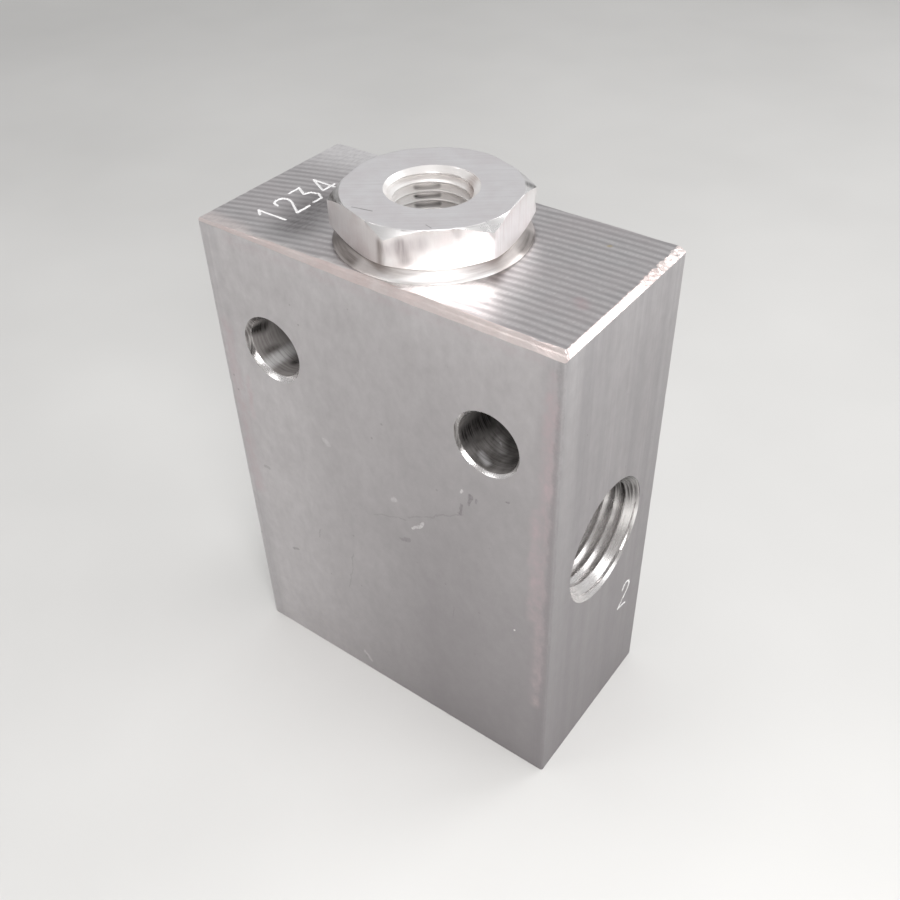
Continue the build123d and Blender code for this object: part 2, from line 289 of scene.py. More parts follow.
def drawnAluminium():
    # aluminium bar, drawn through a die: a satin grey that takes the light softly, with long faint lines
    # and scratches that catch it. Die lines lie about 0.1 mm apart, too fine to show: drawn 0.4 mm apart
    look = drawnFinish
    material, tree, shader, place = newMaterial("drawnAluminiumBar")
    wander = addNode(tree, "ShaderNodeTexNoise", {"Vector": place, "Scale": 0.5, "Detail": 3.0})
    bent = addNode(tree, "ShaderNodeVectorMath",
                   {0: wander.outputs[1], 1: (1.6, 0.0, 1.6), 2: place}, operation="MULTIPLY_ADD")
    shifted = addNode(tree, "ShaderNodeVectorMath", {0: bent.outputs[0], 1: (0.8, 0.0, 0.8)},
                      operation="SUBTRACT").outputs[0]
    parts = addNode(tree, "ShaderNodeSeparateXYZ", {0: place}).outputs
    fromMiddle = [addNode(tree, "ShaderNodeMath", {0: parts[axis]}, operation="ABSOLUTE").outputs[0]
                  for axis in (0, 1)]
    dieLines = noiseValue(tree, place, (2.6, 2.6, 0.02), detail=4.0)
    dieBands = noiseValue(tree, place, (0.30, 0.30, 0.006), detail=2.0)
    blotches = noiseValue(tree, place, (0.085, 0.085, 0.065), detail=6.0, roughness=0.66)
    smudges = noiseValue(tree, place, (0.50, 0.50, 0.36), detail=5.0, roughness=0.66)
    fine = noiseValue(tree, place, (4.0, 4.0, 3.2), detail=3.0)
    colour = layColour(tree, linearColour(look["dark"]), look["light"], blotches)
    # the die's lines show on the narrow sides and on the last millimetres of the wide ones
    side = addNode(tree, "ShaderNodeMapRange",
                   {"Value": fromMiddle[0], "From Min": look["dieLineSide"][0],
                    "From Max": look["dieLineSide"][1]}).outputs[0]
    colour = layColour(tree, colour, look["line"], dieBands, side, 0.55)
    outer = addNode(tree, "ShaderNodeMapRange",
                    {"Value": fromMiddle[1], "From Min": look["edgeBandSide"][0],
                     "From Max": look["edgeBandSide"][1]}, interpolation_type="SMOOTHSTEP").outputs[0]
    onSide = addNode(tree, "ShaderNodeMath", {0: fromMiddle[0], 1: look["narrowSide"]},
                     operation="GREATER_THAN").outputs[0]
    colour = layColour(tree, colour, look["edgeBand"], outer, onSide, 0.6)
    colour = layColour(tree, colour, look["line"], dieLines, side, 0.30)
    colour = layColour(tree, colour, look["foot"], smudges, 0.20)
    # painted shade: greyer towards the foot and towards the right
    foot = addNode(tree, "ShaderNodeMapRange",
                   {"Value": parts[2], "From Min": look["footHeight"], "From Max": 0.0,
                    "To Min": 0.0, "To Max": 0.88}).outputs[0]
    lean = addNode(tree, "ShaderNodeMapRange",
                   {"Value": parts[0], "From Min": look["footReach"][0], "From Max": look["footReach"][1],
                    "To Min": 0.25, "To Max": 0.90}).outputs[0]
    footShadeShare = addNode(tree, "ShaderNodeMath", {0: foot, 1: 0.4}, operation="POWER").outputs[0]
    colour = layColour(tree, colour, look["foot"], footShadeShare, lean)
    front = -blockForm["halfDepth"]
    for start, end, width, share in pinkStains:
        mask = markMask(tree, shifted, (start[0], front, start[1]), (end[0], front, end[1]), width, 1.0)
        colour = layColour(tree, colour, look["pink"], mask, smudges, share)
    # the marks are broken up by the fine noise: 0.8 times it, plus a half
    broken = addNode(tree, "ShaderNodeMath", {0: fine, 1: 0.8, 2: 0.5}, operation="MULTIPLY_ADD").outputs[0]
    dents = None
    for start, end, width, share, tone in handlingMarksAndGlints:
        mask = markMask(tree, shifted, (start[0], front, start[1]), (end[0], front, end[1]), width)
        mask = product(tree, mask, broken, share)
        colour = layColour(tree, colour, look[tone], mask)
        dents = mask if dents is None else addNode(
            tree, "ShaderNodeMath", {0: dents, 1: mask}, operation="MAXIMUM").outputs[0]
    specks = addNode(tree, "ShaderNodeTexVoronoi", {"Vector": place, "Scale": 0.22, "Randomness": 1.0})
    speck = addNode(tree, "ShaderNodeMapRange",
                    {"Value": specks.outputs["Distance"], "From Min": 0.03, "From Max": 0.055,
                     "To Min": 0.5, "To Max": 0.0}).outputs[0]
    colour = layColour(tree, colour, look["scratch"], speck)
    # roughness follows 0.06 of the blotches plus 0.05 of the fine noise, plus a half
    grain = addNode(tree, "ShaderNodeMath", {0: fine, 1: 0.05, 2: 0.5}, operation="MULTIPLY_ADD").outputs[0]
    rough = addNode(tree, "ShaderNodeMath", {0: product(tree, blotches, 0.06), 1: grain},
                    operation="ADD").outputs[0]
    roughness = addNode(tree, "ShaderNodeMapRange",
                        {"Value": rough, "From Min": 0.0, "From Max": 0.6,
                         "To Min": look["roughness"][0], "To Max": look["roughness"][1]})
    relief = product(tree, dieLines, side)
    finishShader(tree, shader, colour, roughness.outputs[0], look["metallic"],
                 [(relief, 0.010), (smudges, 0.016), (dents, -0.03), (fine, 0.006)])
    return material


# front face marks: scratches, and painted highlights where the tone is glint; (x, z) of both ends in mm,
# width, share, tone
handlingMarksAndGlints = [
    ((31.2, -2.0), (31.2, 91.0), 1.6, 0.30, "scratch"),
    ((-1.9, 43.4), (4.6, 45.6), 0.34, 0.34, "scratch"),
    ((5.2, 46.4), (12.2, 50.6), 0.34, 0.34, "scratch"),
    ((12.2, 50.6), (15.9, 53.1), 0.34, 0.34, "scratch"),
    ((3.4, 40.6), (5.2, 41.6), 1.1, 0.55, "scratch"),
    ((-25.8, 41.2), (-26.6, 41.2), 1.0, 0.4, "scratch"),
    ((-7.8, 30.2), (-9.6, 21.0), 0.34, 0.34, "scratch"),
    ((-15.0, 32.4), (-15.5, 30.2), 0.34, 0.34, "scratch"),
    ((-21.8, 23.6), (-22.8, 23.0), 0.7, 0.6, "scratch"),
    ((13.7, 30.9), (13.3, 28.2), 0.35, 0.5, "scratch"),
    ((15.3, 53.0), (15.7, 54.8), 0.7, 0.75, "scratch"),
    ((17.0, 55.6), (17.3, 57.6), 0.8, 0.8, "scratch"),
    ((18.1, 56.4), (18.3, 57.2), 0.6, 0.6, "scratch"),
    ((1.0, 63.2), (1.2, 63.4), 0.6, 0.6, "scratch"),
    ((23.7, 59.6), (23.9, 59.8), 0.6, 0.8, "scratch"),
    ((6.0, 44.6), (8.4, 46.8), 0.7, 0.6, "glint"),
    ((2.4, 48.6), (2.8, 48.8), 1.4, 0.35, "glint"),
    ((-10.6, 54.2), (-10.9, 54.4), 1.5, 0.3, "glint"),
    ((15.6, 57.2), (15.8, 57.5), 0.7, 0.8, "glint"),
    ((25.2, 33.0), (25.3, 33.2), 0.5, 0.9, "glint"),
    ((-7.8, 4.0), (-6.4, 2.6), 0.8, 0.35, "glint"),
]

# pinkish stains on the front face: (x, z) of both ends in mm, width, share
pinkStains = [
    ((28.3, 60.0), (28.4, 38.0), 2.6, 0.60),
    ((29.8, 80.0), (29.9, 18.0), 3.6, 0.55),
    ((-29.9, 70.0), (-29.4, 35.0), 4.2, 0.60),
    ((-27.0, 60.0), (-27.4, 52.0), 2.0, 0.60),
    ((30.2, 84.0), (30.2, 62.0), 3.0, 0.40),
    ((-26.0, 85.5), (28.0, 85.5), 3.0, 0.25),
]

print("material helpers ready")


# Block

blockHigh = np.array(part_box("valve_block")[1]) / mm

blockForm = {
    "halfWidth": blockHigh[0],
    "halfDepth": blockHigh[1],
    "height": blockHigh[2],
    "cornerRadius": 0.4,
    "bottomBreak": 0.12,
    "frontBevel": (1.4, 0.9),
    "rightBevel": (1.05, 0.6),
    "recessRadius": 14.4,
    "recessBreak": 0.05,
    "flangeSeat": 84.7125,
    "sealPocket": (13.261, 82.7025),
    "threadBore": (11.90625, 70.2025),
    "pistonBore": 9.525,
    "boreLeadIn": 0.5,
    "circlipGroove": (10.075, 35.47, 36.53),
    "seatShoulder": 28.0,
    "chamber": (8.0, 14.0),
    "guide": (6.35, 4.5),
    "sawPitch": 1.465,  # one saw ridge to the next
    "sawDepth": 0.036,
    "sawRadius": 184.0,
    "sawCentreX": 29.6,
    "mountHoles": ((-20.05, 0.75), (20.05, 0.5)),  # x, bevel
    "mountHoleRadius": 4.96,
    "mountHoleHeight": 68.2625,
    "mountHoleColumns": 120,
    "boreSplit": 55.0,  # between the plain part of the bore and the part that the gallery meets
    "bevelLevel": 0.95,  # a triangle of the top leaning more than this cosine is on a bevel
}

# wear and tool marks, in mm unless said otherwise
wearForm = {
    "fineLines": 0.005,
    "recessRim": 0.03,
    "edgeDrop": 0.06,  # the left and the back edge of the top
    "edgeSlope": 0.8,  # how fast that wear runs out, of 1
    "cornerDrop": 0.05,
    "scrape": (0.05, 0.62, 0.16),  # in the front bevel: depth, place as a share of the bevel, width
    "ragged": (1.0, 8, 0.28, 0.22),  # back end of the right bevel: y from, over, mean width, its change
    "bevelRipple": 0.012,
    "uprightCorners": 0.015,
}

# rows and columns of the grid that the top is made of
topGrid = {
    "recessArcs": ((90, 3.0), (78, 1.2), (48, 0.6)),  # degrees to each side, step
    "bevelShares": (0.33, 0.38, 0.44, 0.5, 0.58, 0.66, 0.74, 0.85, 1.0),
    "extraRows": (-14.44, 14.5, 14.9, 15.3, 15.72),
    "fromLeft": (0, 0.06, 0.13, 0.2, 0.45),
    "leftBands": ((-29.9, -26.3, 4), (-26.3, -20.2, 58)),  # x from and to, columns; the figures are finest
    "toRecess": 14,
    "fromRecess": 20,
    "bevelBand": (28.4, 26),  # x from, columns
}

# 1/2 taper pipe thread at both sides
portForm = {
    "mouthRadius": 10.76,
    "drillRadius": 9.128125,
    "drillDepth": 18.5,
    "pointAngle": 118.0,
    "galleryRadius": 6.35,
    "pitch": 25.4 / 14,
    "minorRadius": 9.30,
    "grooveDepth": 1.10,
    "root": (0.18, 0.32),  # the groove's bottom lies nearer the mouth: its outward flank is the long one
    "threadLength": 15.6,
    "fadeLength": 5.0,
    "burr": 0.03,
    "columns": 192,
    "valveHeight": 43.65625,
    "cylinderHeight": 20.6,
}

# plain figures struck with hand stamps: strokes in mm, to the right and up
figureStrokes = {
    "1": [[(0.35, 4.2), (1.3, 5.4), (1.3, 0.0)]],
    "2": [[(0.1, 4.0), (0.4, 5.0), (1.25, 5.4), (2.2, 5.1), (2.55, 4.2), (2.2, 3.1), (0.1, 0.0),
           (2.75, 0.0)]],
    "3": [[(0.3, 5.4), (2.5, 5.4), (1.3, 3.3), (2.4, 2.8), (2.7, 1.5), (1.9, 0.2), (0.2, 0.3)]],
    "4": [[(2.1, 0.0), (2.1, 5.4), (0.1, 1.7), (2.8, 1.7)]],
}
figureForm = {
    "pitch": 3.8,
    "depth": 0.14,
    "halfWidth": 0.22,
    "struckShare": 0.15,  # how deep in its groove a triangle lies to have the struck finish, of 1
    "topText": "1234",
    "topStart": (-20.5, -10.2),  # x of the feet, y of the first figure
    "sideText": "2",
    "sideStart": (7.6, 20.2),  # y, z
    "sideLean": -14.0,
    "sideMiddle": (1.5, 2.7),  # only points this far from the start, and within the reach, are moved
    "sideReach": (3.0, 4.2),
    "sideGrid": ((6.0, 12.2), (17.4, 26.4), 0.16),  # y from and to, z from and to, step
}

boreColumns = 96
boreAngles = np.linspace(-np.pi, np.pi, boreColumns + 1)

drawnSide, sawnTop, filedBevel, boredX, boredY, boredZ, struck = range(7)


def strikeDepth(u, v, text):
    # rounded groove along each stroke: 1 less the square of the gap over half the stroke's width
    gap = np.full(np.shape(u), 99.0)
    for place, figure in enumerate(text):
        for stroke in figureStrokes[figure]:
            for (ax, ay), (bx, by) in zip(stroke[:-1], stroke[1:]):
                ax, bx = ax + place * figureForm["pitch"], bx + place * figureForm["pitch"]
                dx, dy = bx - ax, by - ay
                part = np.clip(((u - ax) * dx + (v - ay) * dy) / (dx * dx + dy * dy), 0, 1)
                gap = np.minimum(gap, np.hypot(u - ax - part * dx, v - ay - part * dy))
    groove = np.clip(1 - (gap / figureForm["halfWidth"]) ** 2, 0, 1)
    return figureForm["depth"] * groove, groove


def topFigures(x, y):
    # the figures on the top read along +Y, with their heads to the left
    footX, firstY = figureForm["topStart"]
    return strikeDepth(y - firstY, footX - x, figureForm["topText"])


def edgeX(y):
    # half width of the block's rounded outline at each y
    form = blockForm
    over = np.clip(np.abs(y) - form["halfDepth"] + form["cornerRadius"], 0, form["cornerRadius"])
    inset = form["cornerRadius"] - np.sqrt(form["cornerRadius"] ** 2 - over ** 2)
    return form["halfWidth"] - inset


def wornCorner(x, y):
    # 1 at the front left corner, where handling has rubbed the saw's ridges away, falling off round it
    form = blockForm
    fromLeft, fromFront = x + form["halfWidth"], y + form["halfDepth"]
    return np.exp(-((fromLeft - 3.0) / 4.5) ** 2 - ((fromFront - 2.0) / 3.2) ** 2)


def bevelShare(x):
    # the file took less off the front edge towards the left: from about a third to the full bevel
    along = softStep((x + blockForm["halfWidth"]) / 34.0)
    return (0.36 + 0.64 * along) * (1 + 0.05 * smoothNoise(x, 0 * x, 6.0, 11))


def topHeight(x, y):
    # sawn top: arcs of a big saw as shallow ridges, less the figures and worn edges, cut by the bevels
    form, wear = blockForm, wearForm
    top = form["height"]
    arc = y + form["sawRadius"] - np.sqrt(form["sawRadius"] ** 2 - (x - form["sawCentreX"]) ** 2)
    turn = 2 * np.pi * arc / form["sawPitch"]
    tooth = 0.5 - 0.4 * np.cos(turn) - 0.18 * np.cos(2 * turn + 0.6)
    strength = (0.7 + 0.3 * smoothNoise(x, y, 9.0, 3)) * (1 - 0.9 * wornCorner(x, y))
    fineLines = wear["fineLines"] * (1 + smoothNoise(x * 0.2, arc, 0.5, 5))
    ridges = form["sawDepth"] * strength * tooth + fineLines
    strike, _ = topFigures(x, y)
    rim = np.clip(1 - (np.hypot(x, y) - form["recessRadius"]) / form["recessBreak"], 0, 1)
    height = top - ridges - strike - wear["recessRim"] * rim
    # the edges at the left and the back are worn down by some hundredths of a millimetre
    leftGap = x + edgeX(y)
    backGap = form["halfDepth"] - y
    worn = wear["edgeDrop"] * (1 + 0.4 * smoothNoise(x, y, 3.0, 7))
    for gap in (leftGap, backGap):
        height = height - np.maximum(0, worn - gap * wear["edgeSlope"])
    height = height - wear["cornerDrop"] * wornCorner(x, y)
    run, drop = (size * bevelShare(x) for size in form["frontBevel"])
    frontGap = y + form["halfDepth"]
    depth, share, width = wear["scrape"]
    scrape = depth * np.exp(-((frontGap - share * run) / width) ** 2)
    front = top - drop * (1 - frontGap / run) - scrape
    run, drop = form["rightBevel"]
    start, over, middle, change = wear["ragged"]
    jag = softStep((y - start) / over) * (middle + change * smoothNoise(0 * x, y, 1.3, 13))
    jag = jag + 0.06 * smoothNoise(0 * x, y, 2.5, 17)
    rightGap = form["halfWidth"] - x
    ripple = wear["bevelRipple"] * (1 + smoothNoise(x, y, 0.9, 19))
    right = top - drop * (1 - rightGap / (run + jag)) - ripple
    height = np.minimum(height, np.where(y < 0, front, top))
    return np.minimum(height, np.where(x > 0, right, top))


def topFinish(points, triangles):
    # which finish a triangle of the top has, by the place of its middle and by how far it leans
    form = blockForm
    x, y, _ = points[triangles].mean(1).T
    a, b, c = (points[triangles[:, corner]] for corner in range(3))
    normal = np.cross(b - a, c - a)
    level = np.abs(normal[:, 2]) / np.linalg.norm(normal, axis=1).clip(1e-12)
    found = np.full(len(triangles), sawnTop)
    _, groove = topFigures(x, y)
    found[groove > figureForm["struckShare"]] = struck
    frontGap = y + form["halfDepth"]
    rightGap = form["halfWidth"] - x
    sloping = level < form["bevelLevel"]
    found[sloping & (frontGap < form["frontBevel"][0] * bevelShare(x) + 0.1)] = filedBevel
    found[sloping & (rightGap < form["rightBevel"][0] + 1.0)] = filedBevel
    return found


def topPatches():
    # the top as two grids, left and right of the recess, with rows that pass through its circle
    form, plan = blockForm, topGrid
    halfDepth, corner, recess = form["halfDepth"], form["cornerRadius"], form["recessRadius"]
    arcs = halfDepth - corner + corner * np.sin(np.radians(np.arange(0, 90.1, 11.25)))
    steps = [np.arange(-end, end + 0.1, step) for end, step in plan["recessArcs"]]
    circle = recess * np.sin(np.radians(np.unique(np.round(np.concatenate(steps), 3))))
    bevel = form["frontBevel"][0] * np.array(plan["bevelShares"]) - halfDepth
    rows = np.unique(np.round(np.concatenate([arcs, -arcs, circle, bevel, plan["extraRows"]]), 9))
    rows = rows[np.concatenate([[True], np.diff(rows) > 1e-6])]
    y = rows[:, None]
    edge = edgeX(y)
    recessX = np.sqrt(np.clip(recess ** 2 - y ** 2, 0, None))
    rimX = recessX + form["recessBreak"] * (recessX > 0)

    def between(a, b, count, last=False):
        # count steps from a to b, with b itself only where it is asked for
        share = np.linspace(0, 1, count + 1)
        share = share if last else share[:-1]
        return a + (b - a) * share

    fixed = 0 * y
    left = [-edge + np.array(plan["fromLeft"])]
    left += [between(fixed + start, fixed + end, count) for start, end, count in plan["leftBands"]]
    left += [between(fixed + plan["leftBands"][-1][1], -rimX, plan["toRecess"]), -rimX, -recessX]
    bevelX, bevelCount = plan["bevelBand"]
    right = [recessX, between(rimX, fixed + bevelX, plan["fromRecess"]),
             between(fixed + bevelX, edge, bevelCount, True)]
    patches, grids = [], []
    for x in (np.hstack(left), np.hstack(right)):
        yGrid = y + 0 * x
        grid = onePoints(x, yGrid, topHeight(x, yGrid))
        points, triangles, _ = gridPatch(grid, sawnTop)
        patches.append((points, triangles, topFinish(points, triangles)))
        grids.append(grid)
    inRecess = np.abs(rows) <= recess + 1e-9
    rim = np.concatenate([grids[1][inRecess, 0], grids[0][inRecess, -1][::-1][1:-1]])
    seat = rim.copy()
    seat[:, 2] = form["flangeSeat"]
    patches.append(gridPatch(np.stack([np.vstack([rim, rim[:1]]), np.vstack([seat, seat[:1]])]), boredZ))
    pocket = form["sealPocket"][0] * np.stack([np.cos(boreAngles[:-1]), np.sin(boreAngles[:-1])], 1)
    patches.append(filledPatch(seat[:, :2], [pocket], [],
                               lambda a, b: onePoints(a, b, form["flangeSeat"]), boredZ))
    frontTop, backTop = (np.concatenate([grids[0][row], grids[1][row]]) for row in (0, -1))
    return patches, rows, grids[0][:, 0], grids[1][:, -1], frontTop, backTop


# nicks on the upright corners: which corner (x side, y side), height, half length, depth in mm
cornerNicks = [
    (1, -1, 33.0, 0.7, 0.22),
    (1, -1, 69.3, 0.5, 0.16),
    (1, -1, 36.5, 1.6, 0.10),
    (1, -1, 52.0, 0.4, 0.10),
    (1, -1, 13.0, 0.6, 0.08),
    (-1, -1, 57.0, 0.6, 0.10),
    (-1, -1, 24.0, 0.9, 0.08),
    (1, 1, 62.0, 0.7, 0.14),
    (1, 1, 40.0, 0.5, 0.12),
    (-1, 1, 48.0, 0.8, 0.12),
]
cornerLevels = 120


def cornerStrips(rows, leftEdge, rightEdge):
    # each rounded corner as levels between the bottom break and the top edge, with nicks in its middle
    form = blockForm
    flat = form["halfDepth"] - form["cornerRadius"]
    strips = {}
    for xSide, edge in ((-1, leftEdge), (1, rightEdge)):
        for ySide in (-1, 1):
            chosen = edge[rows * ySide >= flat - 1e-9]
            chosen = chosen if ySide > 0 else chosen[::-1]  # from the side face round to the front or back
            share = np.linspace(0, 1, cornerLevels + 1)[:, None]
            z = form["bottomBreak"] + share * (chosen[:, 2] - form["bottomBreak"])
            x = chosen[:, 0] + 0 * z
            y = chosen[:, 1] + 0 * z
            centreX = xSide * (form["halfWidth"] - form["cornerRadius"])
            centreY = ySide * flat
            angle = np.arctan2(np.abs(y - centreY), np.abs(x - centreX))
            middle = np.sin(2 * angle)
            rubbed = 1 + smoothNoise(z, 0 * z + 3 * xSide + ySide, 5.0, 23)
            cut = wearForm["uprightCorners"] * rubbed * np.sin(np.pi * share)
            for nickX, nickY, height, length, depth in cornerNicks:
                if (nickX, nickY) == (xSide, ySide):
                    cut = cut + depth * np.exp(-((z - height) / length) ** 2)
            x = x - (x - centreX) / form["cornerRadius"] * cut * middle
            y = y - (y - centreY) / form["cornerRadius"] * cut * middle
            strips[xSide, ySide] = onePoints(x, y, z)
    return strips


def tidyLoop(points):
    # drops points that repeat the one before
    keep = np.abs(np.diff(points, axis=0, prepend=points[:1] + 1)).max(1) > 1e-7
    return points[keep]


def circleLoop(x, y, radius, count):
    # points round a circle: its middle plus radius times (cos, sin)
    turns = np.arange(count) / count * 2 * np.pi
    return np.stack([x + radius * np.cos(turns), y + radius * np.sin(turns)], 1)


def portRings(form, height, side):
    # mouth, thread, drill point and gallery as (depth, radius) on columns round the port's axis
    turns = np.linspace(0, 1, form["columns"] + 1)
    depth, groove = threadGrid(turns, form["pitch"], form["threadLength"], form["root"])
    fade = np.clip((form["threadLength"] - depth) / form["fadeLength"], 0, 1)
    burr = form["burr"] * smoothNoise(depth * 3, turns * 60, 3.0, 29) * np.sin(np.pi * turns) ** 2
    radius = form["minorRadius"] - depth * pipeTaper + (groove * form["grooveDepth"] + burr * groove) * fade
    radius = np.maximum(np.maximum(radius, form["drillRadius"]), form["mouthRadius"] - depth)
    tip = (form["drillRadius"] - form["galleryRadius"]) / math.tan(math.radians(form["pointAngle"] / 2))
    angle = turns * 2 * np.pi

    def place(depth, radius):
        # seen along the way in, the angle turns to the right, so the thread is right-handed
        x = side * (blockForm["halfWidth"] - depth)
        return onePoints(x, radius * np.cos(angle), height - side * radius * np.sin(angle))

    end = form["drillDepth"] + tip
    patches = [gridPatch(place(depth, radius), boredX)]
    outline = [(form["threadLength"], form["drillRadius"]), (form["drillDepth"], form["drillRadius"]),
               (end, form["galleryRadius"])]
    wall = [place(d + 0 * turns, r + 0 * turns) for d, r in outline]
    patches.append(gridPatch(np.stack(wall), boredX))
    return patches, place, end, angle


def galleryPatch(place, end, angle, boreRadius):
    # the gallery runs on until it meets the bore's cylinder: x squared plus y squared is radius squared
    radius = portForm["galleryRadius"]
    meet = np.sqrt(boreRadius ** 2 - (radius * np.cos(angle)) ** 2)
    last = blockForm["halfWidth"] - meet
    rows = [place(end + (last - end) * share, radius + 0 * angle) for share in np.linspace(0, 1, 4)]
    return gridPatch(np.stack(rows), boredX), rows[-1][:-1]


def boreWall(boreRadius, low, high, curve, side):
    # part of a bore's wall, unrolled, with the hole where a gallery comes in
    middle = 0 if side > 0 else np.pi
    angles = boreAngles + middle
    across = angles * boreRadius
    holeAngle = np.arctan2(side * curve[:, 1], side * curve[:, 0]) + middle
    hole = np.stack([holeAngle * boreRadius, curve[:, 2]], 1)
    bottom, top = (np.stack([across, 0 * across + level], 1) for level in (low, high))
    outline = np.concatenate([bottom, top[::-1]])
    u, v = np.meshgrid(across[1:-1], np.linspace(low, high, 9)[1:-1])
    inner = np.stack([u.ravel(), v.ravel()], 1)
    away = np.abs(inner[:, None] - hole[None]).sum(2).min(1) > 0.35
    inner = inner[away & ~insideLoop(inner, hole)]
    return filledPatch(outline, [hole], inner, lambda a, b: onePoints(
        boreRadius * np.cos(a / boreRadius), boreRadius * np.sin(a / boreRadius), b), boredZ)


def sideFaces(strips, frontTop, backTop, rows, leftEdge, rightEdge, portLoops):
    # the four flat sides between the corner strips, each filled round its holes
    form = blockForm
    patches = []
    flat = form["halfDepth"] - form["cornerRadius"]
    height, radius, columns = form["mountHoleHeight"], form["mountHoleRadius"], form["mountHoleColumns"]
    holes = [circleLoop(x, height, radius + bevel, columns) for x, bevel in form["mountHoles"]]
    for ySide, topEdge in ((-1, frontTop), (1, backTop)):
        left, right = strips[-1, ySide][:, -1], strips[1, ySide][:, -1]
        outline = tidyLoop(np.concatenate([right, topEdge[::-1], left[::-1]]))[:, [0, 2]]
        patches.append(filledPatch(outline, holes, [], lambda a, b, s=ySide: onePoints(
            a, s * form["halfDepth"], b), drawnSide))
    for xSide, edge in ((-1, leftEdge), (1, rightEdge)):
        front, back = strips[xSide, -1][:, 0], strips[xSide, 1][:, 0]
        topEdge = edge[np.abs(rows) <= flat + 1e-9]
        outline = tidyLoop(np.concatenate([back, topEdge[::-1], front[::-1]]))[:, [1, 2]]
        inner = []
        if xSide > 0:
            # a fine grid of points under the figure, so that its strokes can be pressed in
            (yLow, yHigh), (zLow, zHigh), step = figureForm["sideGrid"]
            u, v = np.meshgrid(np.arange(yLow, yHigh, step), np.arange(zLow, zHigh, step))
            inner = np.stack([u.ravel(), v.ravel()], 1)
            fromPort = np.hypot(inner[:, 0], inner[:, 1] - portForm["valveHeight"])
            inner = inner[fromPort > portForm["mouthRadius"] + 0.2]
        patches.append(filledPatch(outline, [portLoops[xSide]], inner, lambda a, b, s=xSide: onePoints(
            s * form["halfWidth"] - (sideFigure(a, b)[0] if s > 0 else 0), a, b), drawnSide))
        if xSide > 0:
            points, triangles, finish = patches[-1]
            middle = points[triangles].mean(1)
            finish[sideFigure(middle[:, 1], middle[:, 2])[1] > figureForm["struckShare"]] = struck
    return patches


def sideFigure(y, z):
    # one figure below the valve port, turned by its lean; nothing is moved away from it
    form = figureForm
    lean = math.radians(form["sideLean"])
    u, v = y - form["sideStart"][0], z - form["sideStart"][1]
    depth, groove = strikeDepth(u * math.cos(lean) + v * math.sin(lean),
                                v * math.cos(lean) - u * math.sin(lean), form["sideText"])
    (middleU, middleV), (reachU, reachV) = form["sideMiddle"], form["sideReach"]
    near = (np.abs(u - middleU) < reachU) & (np.abs(v - middleV) < reachV)
    return np.where(near, depth, 0), np.where(near, groove, 0)


def mountingHoles():
    # plain holes from front to back, bevelled at both faces; the bevel's inner edge is slightly round
    form = blockForm
    patches = []
    turns = np.linspace(0, 2 * np.pi, form["mountHoleColumns"] + 1)
    half, radius = form["halfDepth"], form["mountHoleRadius"]
    for x, bevel in form["mountHoles"]:
        outline = [(radius + bevel, -half), (radius + 0.06, -half + bevel - 0.06),
                   (radius, -half + bevel + 0.08)]
        outline += [(radius + 0.012 * math.sin(5.1 * k + x), -half + 1 + k) for k in range(1, 30)]
        outline += [(r, -y) for r, y in outline[2::-1]]
        r, y = np.array(outline).T[:, :, None]
        grid = onePoints(x + r * np.cos(turns), y, form["mountHoleHeight"] + r * np.sin(turns))
        patches += [gridPatch(grid[:2], boredX), gridPatch(grid[1:-1], boredY),
                    gridPatch(grid[-2:], boredX)]
    return patches


def bottomPatches(strips):
    # a small break round the bottom edge, and the flat bottom inside it
    form = blockForm
    order = [((-1, -1), 1), ((1, -1), -1), ((1, 1), 1), ((-1, 1), -1)]
    loop = np.concatenate([strips[key][0][::step] for key, step in order])
    centreX = np.sign(loop[:, 0]) * (form["halfWidth"] - form["cornerRadius"])
    centreY = np.sign(loop[:, 1]) * (form["halfDepth"] - form["cornerRadius"])
    shrink = 1 - form["bottomBreak"] / form["cornerRadius"]
    inset = np.stack([centreX + (loop[:, 0] - centreX) * shrink,
                      centreY + (loop[:, 1] - centreY) * shrink, 0 * centreX], 1)
    rings = np.stack([np.vstack([loop, loop[:1]]), np.vstack([inset, inset[:1]])])
    bottom = filledPatch(inset[:, :2], [], [], lambda a, b: onePoints(a, b, 0.0), drawnSide)
    return [gridPatch(rings, drawnSide), bottom]


